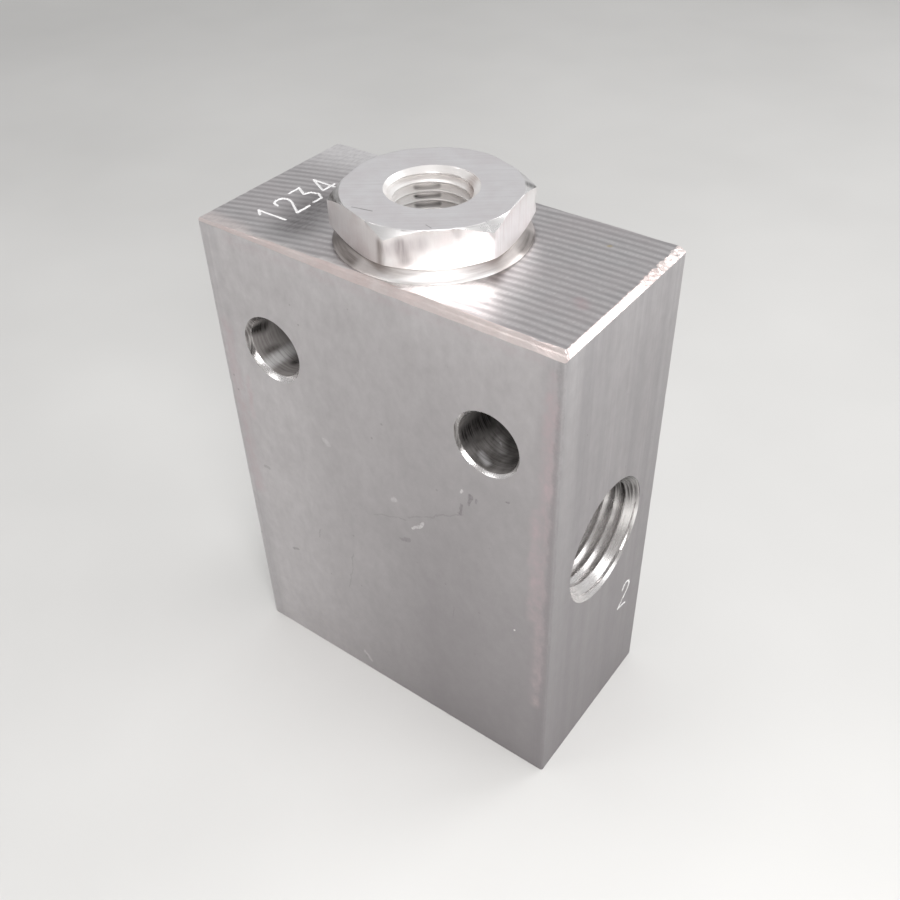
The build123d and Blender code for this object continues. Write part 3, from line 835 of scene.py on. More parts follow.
def makeBlock(materials):
    # top, corners, side ports with their galleries, flat sides, holes, bottom, and the stepped bore
    form = blockForm
    patches, rows, leftEdge, rightEdge, frontTop, backTop = topPatches()
    strips = cornerStrips(rows, leftEdge, rightEdge)
    patches += [gridPatch(strip, drawnSide) for strip in strips.values()]
    portLoops = {}
    walls = {}
    for side, height, radius in ((1, portForm["valveHeight"], form["pistonBore"]),
                                 (-1, portForm["cylinderHeight"], form["chamber"][0])):
        rings, place, end, angle = portRings(portForm, height, side)
        patches += rings
        gallery, curve = galleryPatch(place, end, angle, radius)
        patches.append(gallery)
        portLoops[side] = place(0 * angle, portForm["mouthRadius"] + 0 * angle)[:-1, [1, 2]]
        walls[side] = curve
    patches += sideFaces(strips, frontTop, backTop, rows, leftEdge, rightEdge, portLoops)
    patches += mountingHoles()
    patches += bottomPatches(strips)
    bore, chamber, guide = form["pistonBore"], form["chamber"], form["guide"]
    groove = form["circlipGroove"]
    upper = [(form["sealPocket"][0], form["flangeSeat"]), form["sealPocket"],
             (form["threadBore"][0], form["sealPocket"][1]), form["threadBore"],
             (bore + form["boreLeadIn"], form["threadBore"][1]),
             (bore, form["threadBore"][1] - form["boreLeadIn"]), (bore, form["boreSplit"])]
    patches.append(turnedPatch(upper, boreAngles, boredZ))
    patches.append(boreWall(bore, groove[2], form["boreSplit"], walls[1], 1))
    lower = [(bore, groove[2]), (groove[0], groove[2]), (groove[0], groove[1]), (bore, groove[1]),
             (bore, form["seatShoulder"]), (chamber[0], form["seatShoulder"])]
    patches.append(turnedPatch(lower, boreAngles, boredZ))
    patches.append(boreWall(chamber[0], chamber[1], form["seatShoulder"], walls[-1], -1))
    patches.append(turnedPatch([chamber, (guide[0], chamber[1]), guide, (0, guide[1])], boreAngles, boredZ))
    return buildPiece("aluminiumBlock", patches, materials)


# Cap

capForm = {
    "columns": 288,
    "top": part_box("pilot_cap")[1].z / mm,
    "bottom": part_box("pilot_cap")[0].z / mm,
    "hexTurn": -79.0,
    "acrossFlats": 25.4,
    "cornerRubbed": (0.2, 0.07),  # how far the rubbing reaches in from a corner, and how much it takes
    "hexBottom": 88.4625,
    "topCircle": 12.93,
    "neckRadius": 12.5,
    "bevelAngle": 30.0,
    "flangeRadius": 14.39,
    "flangeTop": 87.6125,
    "flangeSlope": (0.35, 0.28),
    "flangeSeat": 84.7125,
    "reliefRadius": 11.251,
    "reliefBottom": 82.7025,
    "threadRadius": 11.87625,
    "endBevel": 0.8,
    "threadPitch": 25.4 / 16,
    "threadGroove": 0.85,
    "threadFade": 0.6,
    "passageRadius": 3.0,
    "drillRadius": 5.55625,
    "drillDepth": 16.5,
    "pointAngle": 118.0,
    "mouthRadius": 6.80,
    "portPitch": 25.4 / 18,
    "portMinor": 5.679,
    "portGroove": 1.09,
    "portThreadLength": 13.0,
    "portFadeLength": 4.0,
}

capFaced, capBevelled, capHexagon, capTurned, capTapped = range(5)

# nicks in the hexagon: angle in degrees, height above the block, width, depth in mm
capNicks = [
    (-39.0, 7.0, 0.50, 0.22),
    (-58.0, 7.0, 0.35, 0.16),
    (-79.0, 3.4, 0.60, 0.12),
    (-19.0, 6.2, 0.70, 0.20),
    (-22.5, 5.4, 0.40, 0.12),
    (-96.0, 6.8, 0.45, 0.12),
    (41.0, 4.0, 0.60, 0.14),
    (101.0, 5.5, 0.60, 0.14),
]


def hexRadius(degrees):
    # half the width across the flats, over the cosine of the angle from the flat's middle
    form = capForm
    fromMiddle = np.mod(degrees - form["hexTurn"], 60) - 30
    radius = form["acrossFlats"] / 2 / np.cos(np.radians(fromMiddle))
    corner = form["acrossFlats"] / math.sqrt(3)
    reach, taken = form["cornerRubbed"]
    near = np.clip((radius - corner + reach) / reach, 0, 1)
    return radius - taken * near ** 2


def makeCap(materials):
    # rings from the mouth out over the hexagon, down the thread, and back up the inside to the mouth
    form = capForm
    top = form["top"]
    turns = np.linspace(0, 1, form["columns"] + 1)
    degrees = form["hexTurn"] + 360 * turns
    angle = np.radians(degrees)
    ring = 0 * turns
    hexagon = hexRadius(degrees)
    slope = math.tan(math.radians(form["bevelAngle"]))
    topRadius = np.minimum(form["topCircle"], hexagon - 0.03)
    highEdge = top - 0.07 - np.maximum(0, hexagon - form["topCircle"]) * slope
    lowEdge = form["hexBottom"] + 0.05 + np.maximum(0, hexagon - form["neckRadius"] - 0.05) * slope
    block = blockForm["height"]

    def nicked(radius, height):
        # a nick pushes the hexagon in by its depth, over a round patch of its width
        cut = 0 * radius
        for nickAngle, nickHeight, width, depth in capNicks:
            around = np.radians(np.mod(degrees - nickAngle + 180, 360) - 180) * radius
            above = height - block - nickHeight
            cut = cut + depth * np.exp(-(around / width) ** 2 - (above / width) ** 2)
        return radius - cut * (radius > form["topCircle"] - 0.6)

    def rowsOf(outline):
        # each row is (radius, height), plain numbers or one for each column
        grid = []
        for radius, height in outline:
            height = height + ring
            radius = nicked(radius + ring, height)
            grid.append(onePoints(radius * np.cos(angle), radius * np.sin(angle), height))
        return np.stack(grid)

    flatTop = [(form["mouthRadius"] + (topRadius - 0.05 - form["mouthRadius"]) * share, top)
               for share in (0, 0.05, 0.3, 0.6, 0.85, 0.95, 1)]
    sides = [(topRadius - 0.05, top), (topRadius - 0.015, top - 0.02), (topRadius, top - 0.05)]
    sides += [(topRadius + (hexagon - topRadius) * share, top - 0.05 + (highEdge - top + 0.05) * share)
              for share in (0.35, 0.7, 0.93, 1)]
    sides += [(hexagon, highEdge + (lowEdge - highEdge) * share)
              for share in (0.02, 0.15, 0.3, 0.45, 0.6, 0.75, 0.9, 0.98, 1)]
    under = [(hexagon, lowEdge), (form["neckRadius"] + 0.05, form["hexBottom"] + 0.03),
             (form["neckRadius"], form["hexBottom"])]
    # a cone leads from the neck out to the flange, whose edge slopes down into the recess
    run, drop = form["flangeSlope"]
    coneRadius = form["flangeRadius"] - run
    under += [(form["neckRadius"] + (coneRadius - form["neckRadius"]) * share,
               form["hexBottom"] + (form["flangeTop"] - form["hexBottom"]) * share)
              for share in (0.2, 0.5, 0.8, 1)]
    flange = [under[-1], (form["flangeRadius"] - 0.02, form["flangeTop"] - drop),
              (form["flangeRadius"], form["flangeTop"] - drop - 0.03),
              (form["flangeRadius"], form["flangeSeat"]), (form["reliefRadius"], form["flangeSeat"]),
              (form["reliefRadius"], form["reliefBottom"]), (form["threadRadius"], form["reliefBottom"])]
    patches = [gridPatch(rowsOf(outline), finish) for outline, finish in (
        (flatTop, capFaced), (sides[:7], capBevelled), (sides[6:], capHexagon),
        (under, capTurned), (flange, capTurned))]
    threadEnd = form["bottom"] + form["endBevel"]
    length = form["reliefBottom"] - threadEnd
    depth, groove = threadGrid(-turns, form["threadPitch"], length)
    fade = np.clip(np.minimum(depth, length - depth) / form["threadFade"], 0, 1)
    radius = form["threadRadius"] - form["threadGroove"] * groove * fade
    thread = onePoints(radius * np.cos(angle), radius * np.sin(angle), form["reliefBottom"] - depth)
    patches.append(gridPatch(thread, capTurned))
    point = (form["drillRadius"] - form["passageRadius"]) / math.tan(math.radians(form["pointAngle"] / 2))
    drillEnd = top - form["drillDepth"]
    inside = [(form["threadRadius"], threadEnd), (form["threadRadius"] - form["endBevel"], form["bottom"]),
              (form["passageRadius"], form["bottom"]), (form["passageRadius"], drillEnd - point),
              (form["drillRadius"], drillEnd), (form["drillRadius"], top - form["portThreadLength"])]
    patches.append(gridPatch(rowsOf(inside), capTapped))
    depth, groove = threadGrid(-turns, form["portPitch"], form["portThreadLength"])
    fade = np.clip((form["portThreadLength"] - depth) / form["portFadeLength"], 0, 1)
    radius = form["portMinor"] - depth * pipeTaper + groove * form["portGroove"] * fade
    radius = np.maximum(np.maximum(radius, form["drillRadius"]), form["mouthRadius"] - depth)
    thread = onePoints(radius * np.cos(angle), radius * np.sin(angle), top - depth)
    patches.append(gridPatch(thread, capTapped))
    return buildPiece("hexagonCap", patches, materials)


# Spring

springForm = {
    "coilRadius": 4.2,
    "wireRadius": 0.5,
    "turns": 8,
    "stepsPerTurn": 48,
    "wireSides": 14,
    "stroke": 4.0,
}


def makeSpring(material):
    # wire carried along a helix, its ends ground flat at the spring's own height
    form = springForm
    low, high = (corner.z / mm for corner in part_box("poppet_spring"))
    steps = form["turns"] * form["stepsPerTurn"]
    share = np.linspace(0, 1, steps + 1)[:, None]
    angle = 2 * np.pi * form["turns"] * share
    rise = high - low
    around = np.linspace(0, 2 * np.pi, form["wireSides"] + 1)
    climb = math.atan2(rise, 2 * math.pi * form["turns"] * form["coilRadius"])
    out = form["wireRadius"] * np.cos(around)
    up = form["wireRadius"] * np.sin(around)
    radius = form["coilRadius"] + out
    back = -up * math.sin(climb)
    x = radius * np.cos(angle) - back * np.sin(angle)
    y = radius * np.sin(angle) + back * np.cos(angle)
    z = np.clip(low + rise * share + up * math.cos(climb), low, high)
    tube = onePoints(x, y, z)
    ends = [np.stack([ring, np.repeat(ring.mean(0, keepdims=True), len(ring), 0)])
            for ring in (tube[0], tube[-1])]
    patches = [gridPatch(tube, 0)] + [gridPatch(end, 0) for end in ends]
    return buildPiece("helicalSpring", patches, [material])


# Machined, filed, plated and moulded finishes

def sawPlace(tree, place):
    # (x, distance along the saw's feed, z): y plus R minus the root of R squared less (x - centre) squared
    parts = addNode(tree, "ShaderNodeSeparateXYZ", {0: place}).outputs
    radius = blockForm["sawRadius"]
    across = addNode(tree, "ShaderNodeMath", {0: parts[0], 1: blockForm["sawCentreX"]},
                     operation="SUBTRACT").outputs[0]
    under = addNode(tree, "ShaderNodeMath", {0: radius ** 2, 1: product(tree, across, across)},
                    operation="SUBTRACT").outputs[0]
    root = addNode(tree, "ShaderNodeMath", {0: under}, operation="SQRT").outputs[0]
    start = addNode(tree, "ShaderNodeMath", {0: parts[1], 1: radius}, operation="ADD").outputs[0]
    feed = addNode(tree, "ShaderNodeMath", {0: start, 1: root}, operation="SUBTRACT").outputs[0]
    return addNode(tree, "ShaderNodeCombineXYZ", {0: parts[0], 1: feed, 2: parts[2]}).outputs[0], feed


# rubbed and stained places on the top, with painted light in front of, behind and beside the cap: both ends
# in mm, width, share, colour
topMarksAndPaintedLight = [
    ((-31.0, -14.6, 87.3), (-24.0, -15.2, 87.3), 5.5, 0.95, "#EADFDC"),
    ((-24.0, -15.4, 87.3), (-4.0, -15.4, 87.3), 2.6, 0.90, "#EFE6E3"),
    ((-8.0, -14.9, 87.3), (-3.0, -15.2, 87.3), 3.0, 0.90, "#F2EBE9"),
    # a painted highlight in front of the cap, then painted light on the back left, then a painted shadow
    # left of the cap
    ((3.0, -14.6, 87.3), (14.5, -9.0, 87.3), 7.0, 0.95, "#FBF9F8"),
    ((-30.0, 14.5, 87.3), (-14.0, 15.5, 87.3), 22.0, 0.85, "#F6F3F3"),
    ((-20.0, -2.0, 87.3), (-18.0, -9.0, 87.3), 13.0, 0.85, "#6F6B6C"),
    ((22.6, 10.4, 87.3), (22.7, 10.5, 87.3), 1.1, 0.90, "#C2B083"),
    ((26.5, -4.0, 87.3), (27.5, -5.0, 87.3), 3.0, 0.40, "#C9A9AE"),
]


def sawnAluminium():
    # end face cut by a big circular saw: shallow arcs, each with a bright crest and a torn, greyer side.
    # The arcs are at the saw's real feed; the tooth lines in them are finer than the render can show, so
    # they are drawn 0.17 mm apart
    material, tree, shader, place = newMaterial("sawnAluminium")
    curved, feed = sawPlace(tree, place)
    turns = product(tree, feed, 2 * math.pi / blockForm["sawPitch"])
    crest = addNode(tree, "ShaderNodeMath", {0: turns}, operation="COSINE").outputs[0]
    wander = noiseValue(tree, curved, (0.25, 1.2, 0.0), detail=4.0, low=-0.55, high=0.55)
    crest = addNode(tree, "ShaderNodeMath", {0: crest, 1: wander}, operation="ADD").outputs[0]
    crest = addNode(tree, "ShaderNodeMapRange",
                    {"Value": crest, "From Min": -1.0, "From Max": 1.0}).outputs[0]
    lines = noiseValue(tree, curved, (0.10, 6.0, 0.0), detail=4.0, roughness=0.65)
    torn = noiseValue(tree, curved, (1.6, 5.0, 0.0), detail=3.0, roughness=0.6)
    slow = noiseValue(tree, place, (0.12, 0.12, 0.12), detail=4.0, roughness=0.6)
    cross = noiseValue(tree, curved, (2.6, 0.7, 0.0), detail=4.0, roughness=0.7)
    # crests and marks are broken up by the noise across the arcs: a share of it, plus a half
    brokenCrest, brokenMark = (
        addNode(tree, "ShaderNodeMath", {0: cross, 1: share, 2: 0.5}, operation="MULTIPLY_ADD").outputs[0]
        for share in (0.5, 0.6))
    crest = product(tree, crest, brokenCrest)
    colour = layColour(tree, linearColour("#B0ADAE"), "#DDDADA", crest)
    colour = layColour(tree, colour, "#9A9798", lines, 0.22)
    colour = layColour(tree, colour, "#C4B9BA", slow, 0.35)
    glint = addNode(tree, "ShaderNodeMath", {0: torn, 1: 4.0}, operation="POWER").outputs[0]
    colour = layColour(tree, colour, "#EDEBEB", glint, crest, 0.55)
    for start, end, width, share, markColour in topMarksAndPaintedLight:
        mask = markMask(tree, place, start, end, width, 1.0)
        colour = layColour(tree, colour, markColour, mask, share, brokenMark)
    rough = addNode(tree, "ShaderNodeMath", {0: lines, 1: crest}, operation="ADD").outputs[0]
    rough = addNode(tree, "ShaderNodeMapRange",
                    {"Value": rough, "From Min": 0.0, "From Max": 2.0, "To Min": 0.44, "To Max": 0.30})
    finishShader(tree, shader, colour, rough.outputs[0], 1.0, [(lines, 0.012), (torn, 0.010)])
    return material


def cutMetal(name, dark, light, roughness, lines, lineDepth, tint=None, blotch=(0.2, 0.2, 0.2),
             turn=0.0, metallic=1.0, marks=()):
    # bright cut metal: tool lines by a stretched noise, turned about Z, and a slow change of tone, which
    # is 0.45 of the lines plus 0.55 of the slow noise; marks are (start, end, width, share, colour)
    material, tree, shader, place = newMaterial(name)
    turned = addNode(tree, "ShaderNodeVectorRotate", {"Vector": place, "Angle": math.radians(turn)},
                     rotation_type="Z_AXIS")
    tool = noiseValue(tree, turned.outputs[0], lines, detail=4.0, roughness=0.6)
    slow = noiseValue(tree, place, blotch, detail=4.0, roughness=0.6)
    speckle = noiseValue(tree, place, (6.0, 6.0, 6.0), detail=2.0)
    tone = addNode(tree, "ShaderNodeMath", {0: product(tree, tool, 0.45), 1: product(tree, slow, 0.55)},
                   operation="ADD").outputs[0]
    colour = layColour(tree, linearColour(dark), light, tone)
    if tint is not None:
        stain = noiseValue(tree, place, (0.16, 0.16, 0.2), detail=5.0, low=-0.6, high=1.0)
        colour = layColour(tree, colour, tint[0], stain, tint[1])
    # the marks are broken up by the tool lines: 0.9 of them, plus a half
    broken = addNode(tree, "ShaderNodeMath", {0: tool, 1: 0.9, 2: 0.5}, operation="MULTIPLY_ADD").outputs[0]
    for start, end, width, share, markColour in marks:
        mask = markMask(tree, place, start, end, width, 0.9)
        colour = layColour(tree, colour, markColour, mask, share, broken)
    rough = addNode(tree, "ShaderNodeMapRange",
                    {"Value": tone, "From Min": 0.0, "From Max": 1.0,
                     "To Min": roughness[1], "To Max": roughness[0]})
    finishShader(tree, shader, colour, rough.outputs[0], metallic, [(tool, lineDepth), (speckle, 0.004)])
    return material


def plainFinish(name, dark, light, roughness, metallic, grainSize, grainDepth):
    # rubber, plastic or dark steel: fine grain and a slow change of tone
    material, tree, shader, place = newMaterial(name)
    grain = noiseValue(tree, place, (1 / grainSize,) * 3, detail=3.0)
    slow = noiseValue(tree, place, (0.3, 0.3, 0.3), detail=3.0)
    colour = layColour(tree, linearColour(dark), light, slow)
    rough = addNode(tree, "ShaderNodeMapRange",
                    {"Value": grain, "From Min": 0.0, "From Max": 1.0,
                     "To Min": roughness[0], "To Max": roughness[1]})
    finishShader(tree, shader, colour, rough.outputs[0], metallic, [(grain, grainDepth)])
    return material


# marks on the cap: both ends in mm, width, share, colour
capTopMarks = [
    ((-5.2, -10.9, 94.4), (-2.2, -10.3, 94.4), 0.30, 0.75, "#5E5856"),
    ((6.1, -9.4, 94.4), (7.2, -9.7, 94.4), 0.25, 0.5, "#7E7876"),
]
# marks on the hexagon: darker places by the front corner, and a painted highlight on the right flat; both
# ends in mm, width, share, colour
hexMarksAndHighlight = [
    ((4.4, -13.0, 92.8), (4.9, -12.6, 90.4), 2.6, 0.50, "#7F7475"),
    ((3.2, -14.0, 92.0), (6.4, -11.3, 92.6), 3.6, 0.35, "#A3969A"),
    ((2.0, -14.1, 92.4), (1.8, -14.0, 89.2), 2.8, 0.55, "#83756F"),
    ((13.6, -3.0, 91.5), (11.5, 7.0, 91.5), 9.0, 0.90, "#FCFAFA"),
]
# painted shade on the bevel at the left corner, and a darker place at the back right corner: both ends in
# mm, width, share, colour
bevelMarks = [
    ((-11.4, -8.6, 93.4), (-9.0, -10.8, 93.6), 6.5, 0.85, "#615B58"),
    ((10.4, 8.2, 93.9), (11.2, 9.4, 93.9), 2.6, 0.85, "#6F6C6B"),
]
# painted light in the pilot port: a painted highlight on the left wall, painted shade in brown at the
# right, and painted shade in the grooves at the back
pilotPaintedLight = [
    ((-6.2, -1.0, 92.5), (-5.8, 2.3, 88.0), 7.0, 0.85, "#FDFCFB"),
    ((3.0, 5.4, 93.2), (5.2, 3.4, 90.5), 4.2, 0.65, "#9A8377"),
    ((-5.3, 3.1, 91.6), (-3.0, 5.4, 91.6), 1.25, 0.95, "#57524F"),
    ((-5.3, 3.1, 90.2), (-3.0, 5.4, 90.2), 1.25, 0.95, "#4E4A48"),
    ((-5.3, 3.1, 88.8), (-3.0, 5.4, 88.8), 1.25, 0.95, "#4E4A48"),
]
# painted shade under the hexagon at the left and at the right, and a painted highlight at the front right
neckPaintedLight = [
    ((-13.8, 0.0, 88.0), (-10.2, -9.0, 88.0), 7.0, 0.90, "#5C5653"),
    ((-10.0, -9.4, 88.0), (-4.0, -13.0, 88.0), 4.5, 0.80, "#756C68"),
    ((3.5, -13.4, 88.0), (12.4, -6.0, 88.0), 6.4, 0.95, "#FCFAF9"),
    ((14.0, 2.5, 88.0), (12.6, 6.5, 88.0), 4.4, 0.75, "#6B6562"),
]
# painted dark reflections in the valve port's upper part and on the mounting holes' bevels
portPaintedReflections = [
    ((30.0, 4.0, 53.5), (29.5, 10.8, 46.5), 12.0, 0.90, "#3A3635"),
    ((27.0, -3.0, 52.5), (27.0, 8.0, 51.0), 9.0, 0.80, "#3A3635"),
    ((26.0, 4.0, 38.0), (27.5, 8.5, 41.0), 4.0, 0.60, "#4A4645"),
    ((-20.2, -15.7, 73.6), (-23.1, -15.7, 72.6), 2.2, 0.95, "#3A3635"),
    ((-23.4, -15.7, 72.3), (-25.2, -15.7, 69.5), 2.6, 0.95, "#5E5A59"),
    ((-25.3, -15.7, 69.0), (-24.9, -15.7, 66.0), 2.6, 0.95, "#6A6665"),
    ((14.7, -15.7, 70.6), (15.2, -15.7, 65.8), 2.4, 0.85, "#625E5D"),
]
# painted light and dark reflections on the walls of the mounting holes
holePaintedReflections = [
    ((-20.0, -15.0, 68.0), (-20.0, 15.0, 68.0), 26.0, 0.80, "#C0BBB9"),
    ((-24.9, -14.8, 69.8), (-24.6, -12.4, 69.0), 3.6, 0.95, "#2A2624"),
    ((-24.2, -13.4, 65.0), (-23.6, -11.6, 65.0), 2.2, 0.60, "#4A4341"),
    ((-22.7, -14.6, 64.0), (-22.2, -4.0, 63.8), 3.2, 1.00, "#FBFAFA"),
    ((-20.3, -11.6, 63.3), (-19.8, -10.2, 63.3), 2.2, 0.75, "#4E4A49"),
    ((15.4, -14.0, 67.0), (15.6, -9.0, 66.4), 6.5, 0.85, "#1E1B1B"),
    ((17.9, -9.2, 63.8), (19.4, -10.8, 63.4), 2.4, 0.70, "#CFCBCA"),
    ((18.3, -9.7, 63.7), (18.8, -10.1, 63.6), 0.5, 1.00, "#F8F6F6"),
    ((17.7, -13.6, 63.9), (19.1, -14.2, 63.4), 1.8, 0.85, "#D8D6D7"),
    ((22.5, -12.0, 63.9), (23.5, -10.0, 64.6), 4.0, 0.60, "#2A2727"),
]

drawn = drawnAluminium()
sawn = sawnAluminium()
# The lines of each cut lie 1 / stretch mm apart. Feed lines of 0.1 to 0.2 mm and grinding scratches of some
# hundredths are too fine to show in the render, so they are drawn 0.14 to 0.6 mm apart.

# filed bevels: a warm, bright satin with short strokes along the edge, lighter than the bar beside it
filed = cutMetal("filedAluminium", "#DED0CC", "#F4EAE7", (0.30, 0.42), (0.8, 0.8, 3.0), 0.02,
                 tint=("#DEC8C4", 0.6))
# tapped ports and countersunk edges: bright rings round the axis that glitter on each thread, with painted
# dark reflections
boredAlongX = cutMetal("tappedAluminium", "#C9C5C4", "#F6F4F3", (0.20, 0.32), (5.0, 0.12, 0.12), 0.006,
                       metallic=0.85, marks=portPaintedReflections)
# drilled holes: smooth walls with a dark base colour as painted shade inside them, rings from the drill,
# and painted reflections
boredAlongY = cutMetal("drilledAluminium", "#4A4543", "#B5B1AF", (0.16, 0.26), (0.15, 3.0, 0.15), 0.010,
                       blotch=(0.42, 0.20, 0.42), metallic=0.45, marks=holePaintedReflections)
# bored wall: clean and bright, with even rings
boredAlongZ = cutMetal("boredAluminium", "#DFDCDC", "#F2F0F0", (0.22, 0.34), (0.12, 0.12, 5.0), 0.006)
# struck figures: freshly pressed metal, paler and duller than the saw cut round it
struckFigures = cutMetal("struckAluminium", "#F1EFEF", "#F8F7F7", (0.45, 0.55), (2.0, 2.0, 2.0), 0.01,
                         metallic=0.3)
# zinc plate on a faced end: a soft white shine, with lines that run one way and faint stains
facedSteel = cutMetal("platedSteelFaced", "#E2DEDF", "#F5F3F4", (0.32, 0.44), (0.10, 2.2, 1.0), 0.006,
                      turn=-36.0, tint=("#DCD2D4", 0.4), marks=capTopMarks)
# zinc plate on the turned bevel: the sharpest glints of the cap
bevelledSteel = cutMetal("platedSteelBevelled", "#E6E3E2", "#F8F6F5", (0.24, 0.34), (0.3, 0.3, 4.0), 0.006,
                         marks=bevelMarks)
# zinc plate on drawn hexagon bar: broad soft reflections, lines that run upright, a pinkish film, and a
# painted highlight on the right flat
hexSteel = cutMetal("platedSteelHexagonBar", "#E9E3E2", "#F8F5F4", (0.30, 0.42), (1.8, 1.8, 0.2), 0.008,
                    tint=("#D3C2C1", 0.5), metallic=0.8, marks=hexMarksAndHighlight)
# zinc plate on the turned neck and flange: greyer, as painted shade under the hexagon, with more painted
# shade and a painted highlight
neckSteel = cutMetal("platedSteelTurned", "#AFA7A4", "#D8D1CE", (0.34, 0.44), (0.1, 0.1, 3.0), 0.004,
                     metallic=0.85, marks=neckPaintedLight)
# zinc plate in the tapped pilot port: bright thread flanks, with painted shade and a painted highlight on
# its walls
tappedSteel = cutMetal("platedSteelTapped", "#E8E4E2", "#F8F5F3", (0.26, 0.38), (0.1, 0.1, 6.0), 0.005,
                       metallic=0.6, marks=pilotPaintedLight)
# hardened and ground steel: the smoothest of the metals, a cool grey near to a mirror
groundSteel = cutMetal("hardenedGroundSteel", "#A9ABAE", "#C6C8CB", (0.14, 0.24), (0.1, 0.1, 7.0), 0.002)
# oil-tempered wire: dark grey with a soft shine along each coil
springSteel = cutMetal("oilTemperedSpringWire", "#55575A", "#7C7F82", (0.28, 0.40), (3.0, 3.0, 3.0), 0.004)
# Phosphate crystals and the grain of rubber and PTFE are some hundredths of a millimetre, too fine to show:
# they are drawn 0.15 to 0.3 mm apart.

# phosphated spring steel: nearly black and dull
circlipSteel = plainFinish("phosphatedSpringSteel", "#2E2D2C", "#45423F", (0.42, 0.58), 0.6, 0.15, 0.004)
# moulded nitrile rubber: black, with a faint sheen
nitrile = plainFinish("mouldedNitrileRubber", "#161617", "#232325", (0.48, 0.62), 0.0, 0.2, 0.004)
# skived PTFE: a waxy off-white
ptfe = plainFinish("skivedPtfe", "#DEDCD6", "#ECEAE5", (0.40, 0.52), 0.0, 0.3, 0.006)
print("materials made")

blockPiece = makeBlock([drawn, sawn, filed, boredAlongX, boredAlongY, boredAlongZ, struckFigures])
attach(blockPiece, "block")
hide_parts("valve_block")

capPiece = makeCap([facedSteel, bevelledSteel, hexSteel, neckSteel, tappedSteel])
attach(capPiece, "block")
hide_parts("pilot_cap")

springPiece = makeSpring(springSteel)
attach(springPiece, "block")
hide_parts("poppet_spring")
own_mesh(springPiece)

cadFinishes = {
    "pilot_piston": groundSteel,
    "valve_seat": groundSteel,
    "check_poppet": groundSteel,
    "seat_circlip": circlipSteel,
    "cap_seal_ring": nitrile,
    "piston_seal_ring": nitrile,
    "seat_seal_ring": nitrile,
    "upper_backup_ring": ptfe,
    "lower_backup_ring": ptfe,
}
for nodeName, finish in cadFinishes.items():
    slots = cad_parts[nodeName].data.materials
    slots.clear()
    slots.append(finish)
print("pieces made")


# Floor, light and camera

studio = {
    "floorSize": 6.0,
    "floorLight": "#DEDDDB",
    "floorDark": "#D6D5D3",
    "brightSide": (-0.3, 0.65, 0.35),
    "bright": "#F6F7F8",
    "dim": "#9C9794",
    "worldStrength": 0.68,
}


def makeFloor():
    # a square of matt painted board: even and pale, so that only the object's shadow shows on it
    material, tree, shader, place = newMaterial("mattPaintedFloor")
    cloud = noiseValue(tree, place, (0.01, 0.01, 0.01), detail=3.0)
    colour = layColour(tree, linearColour(studio["floorDark"]), studio["floorLight"], cloud)
    tree.links.new(colour, shader.inputs["Base Color"])
    shader.inputs["Roughness"].default_value = 0.85
    half = studio["floorSize"] / 2
    mesh = bpy.data.meshes.new("floor")
    corners = [(-half, -half, 0), (half, -half, 0), (half, half, 0), (-half, half, 0)]
    mesh.from_pydata(corners, [], [(0, 1, 2, 3)])
    mesh.materials.append(material)
    floor = bpy.data.objects.new("floor", mesh)
    bpy.context.scene.collection.objects.link(floor)


def makeWorld():
    # soft studio: pale towards the back right, greyer towards the front left
    world = bpy.data.worlds.new("studio")
    world.use_nodes = True
    tree = world.node_tree
    tree.nodes.clear()
    direction = addNode(tree, "ShaderNodeTexCoord")
    towards = addNode(tree, "ShaderNodeVectorMath",
                      {0: direction.outputs["Generated"], 1: studio["brightSide"]}, operation="DOT_PRODUCT")
    share = addNode(tree, "ShaderNodeMapRange",
                    {"Value": towards.outputs["Value"], "From Min": -0.6, "From Max": 0.6})
    colour = layColour(tree, linearColour(studio["dim"]), studio["bright"], share.outputs[0])
    background = addNode(tree, "ShaderNodeBackground",
                         {"Color": colour, "Strength": studio["worldStrength"]})
    addNode(tree, "ShaderNodeOutputWorld", {"Surface": background.outputs[0]})
    bpy.context.scene.world = world


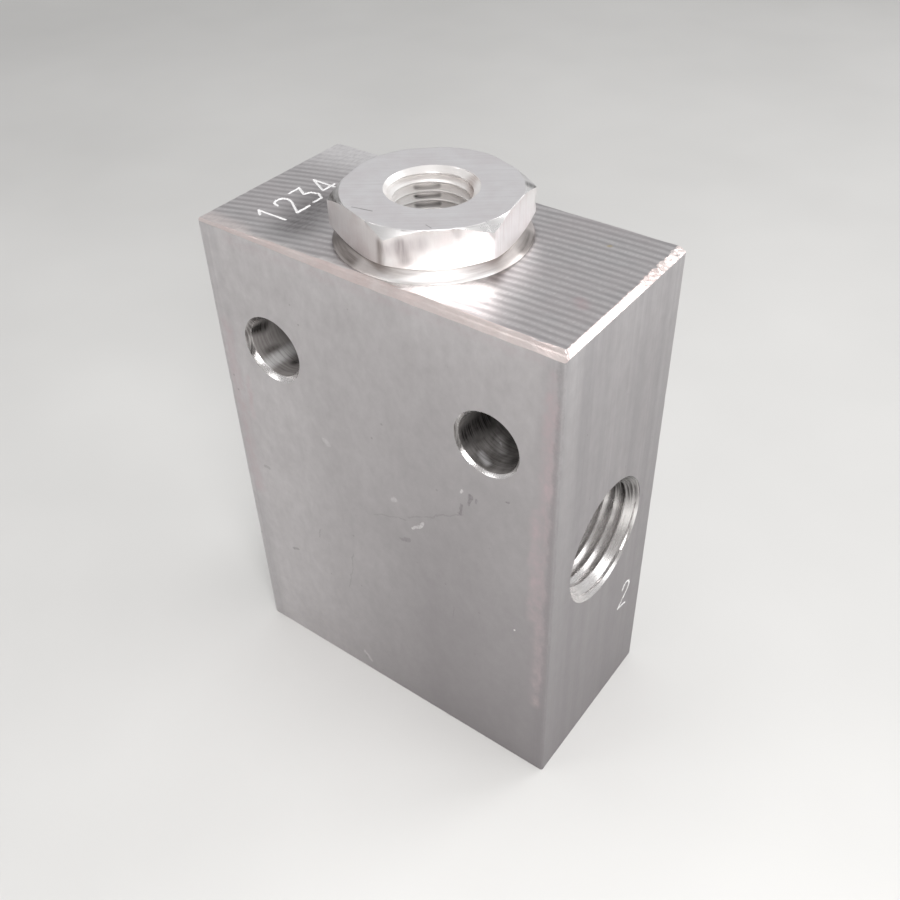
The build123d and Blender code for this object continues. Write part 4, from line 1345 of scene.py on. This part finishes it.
# area lamps: place and aim in mm, size in mm, power in watts
lamps = {
    "besideCamera": {"place": (165, -160, 216), "aim": (10, -8, 87), "size": 140, "power": 0.52},
    "backRight": {"place": (225, 375, 330), "aim": (15, 0, 80), "size": 260, "power": 0.56},
    "highRight": {"place": (395, 118, 285), "aim": (32, 0, 44), "size": 240, "power": 0.36},
    "frontLeft": {"place": (-190, -270, 270), "aim": (0, -16, 68), "size": 180, "power": 0.20},
    "overhead": {"place": (-20, 20, 560), "aim": (0, 0, 80), "size": 260, "power": 0.45},
}


def makeLamps():
    # round area lamps, each turned so that its own -Z looks at its aim
    for name, form in lamps.items():
        data = bpy.data.lights.new(name, "AREA")
        data.shape = "DISK"
        data.size = form["size"] * mm
        data.energy = form["power"]
        lamp = bpy.data.objects.new(name, data)
        place, aim = Vector(form["place"]) * mm, Vector(form["aim"]) * mm
        turn = (aim - place).to_track_quat("-Z", "Y").to_matrix().to_4x4()
        lamp.matrix_world = Matrix.Translation(place) @ turn
        bpy.context.scene.collection.objects.link(lamp)


# camera: place in mm, the way it looks, its roll in degrees
cameraForm = {
    "place": (80.521, -103.210, 157.264),
    "look": (-0.463447, 0.607180, -0.645406),
    "roll": -1.757,
    "lens": 40.748,
    "sensor": 36.0,
}


def makeCamera():
    # a level camera along the look, then rolled: its right is cos(roll) level right plus sin(roll) up
    data = bpy.data.cameras.new("photoView")
    data.lens = cameraForm["lens"]
    data.sensor_width = cameraForm["sensor"]
    data.clip_start = 0.01
    data.clip_end = 50
    camera = bpy.data.objects.new("photoView", data)
    look = Vector(cameraForm["look"]).normalized()
    level = look.cross(Vector((0, 0, 1))).normalized()
    roll = math.radians(cameraForm["roll"])
    right = level * math.cos(roll) + level.cross(look) * math.sin(roll)
    up = right.cross(look)
    turn = Matrix((right, up, -look)).transposed().to_4x4()
    camera.matrix_world = Matrix.Translation(Vector(cameraForm["place"]) * mm) @ turn
    bpy.context.scene.collection.objects.link(camera)
    bpy.context.scene.camera = camera


makeFloor()
makeWorld()
makeLamps()
makeCamera()
bpy.context.scene.view_settings.view_transform = "Standard"
print("studio made")
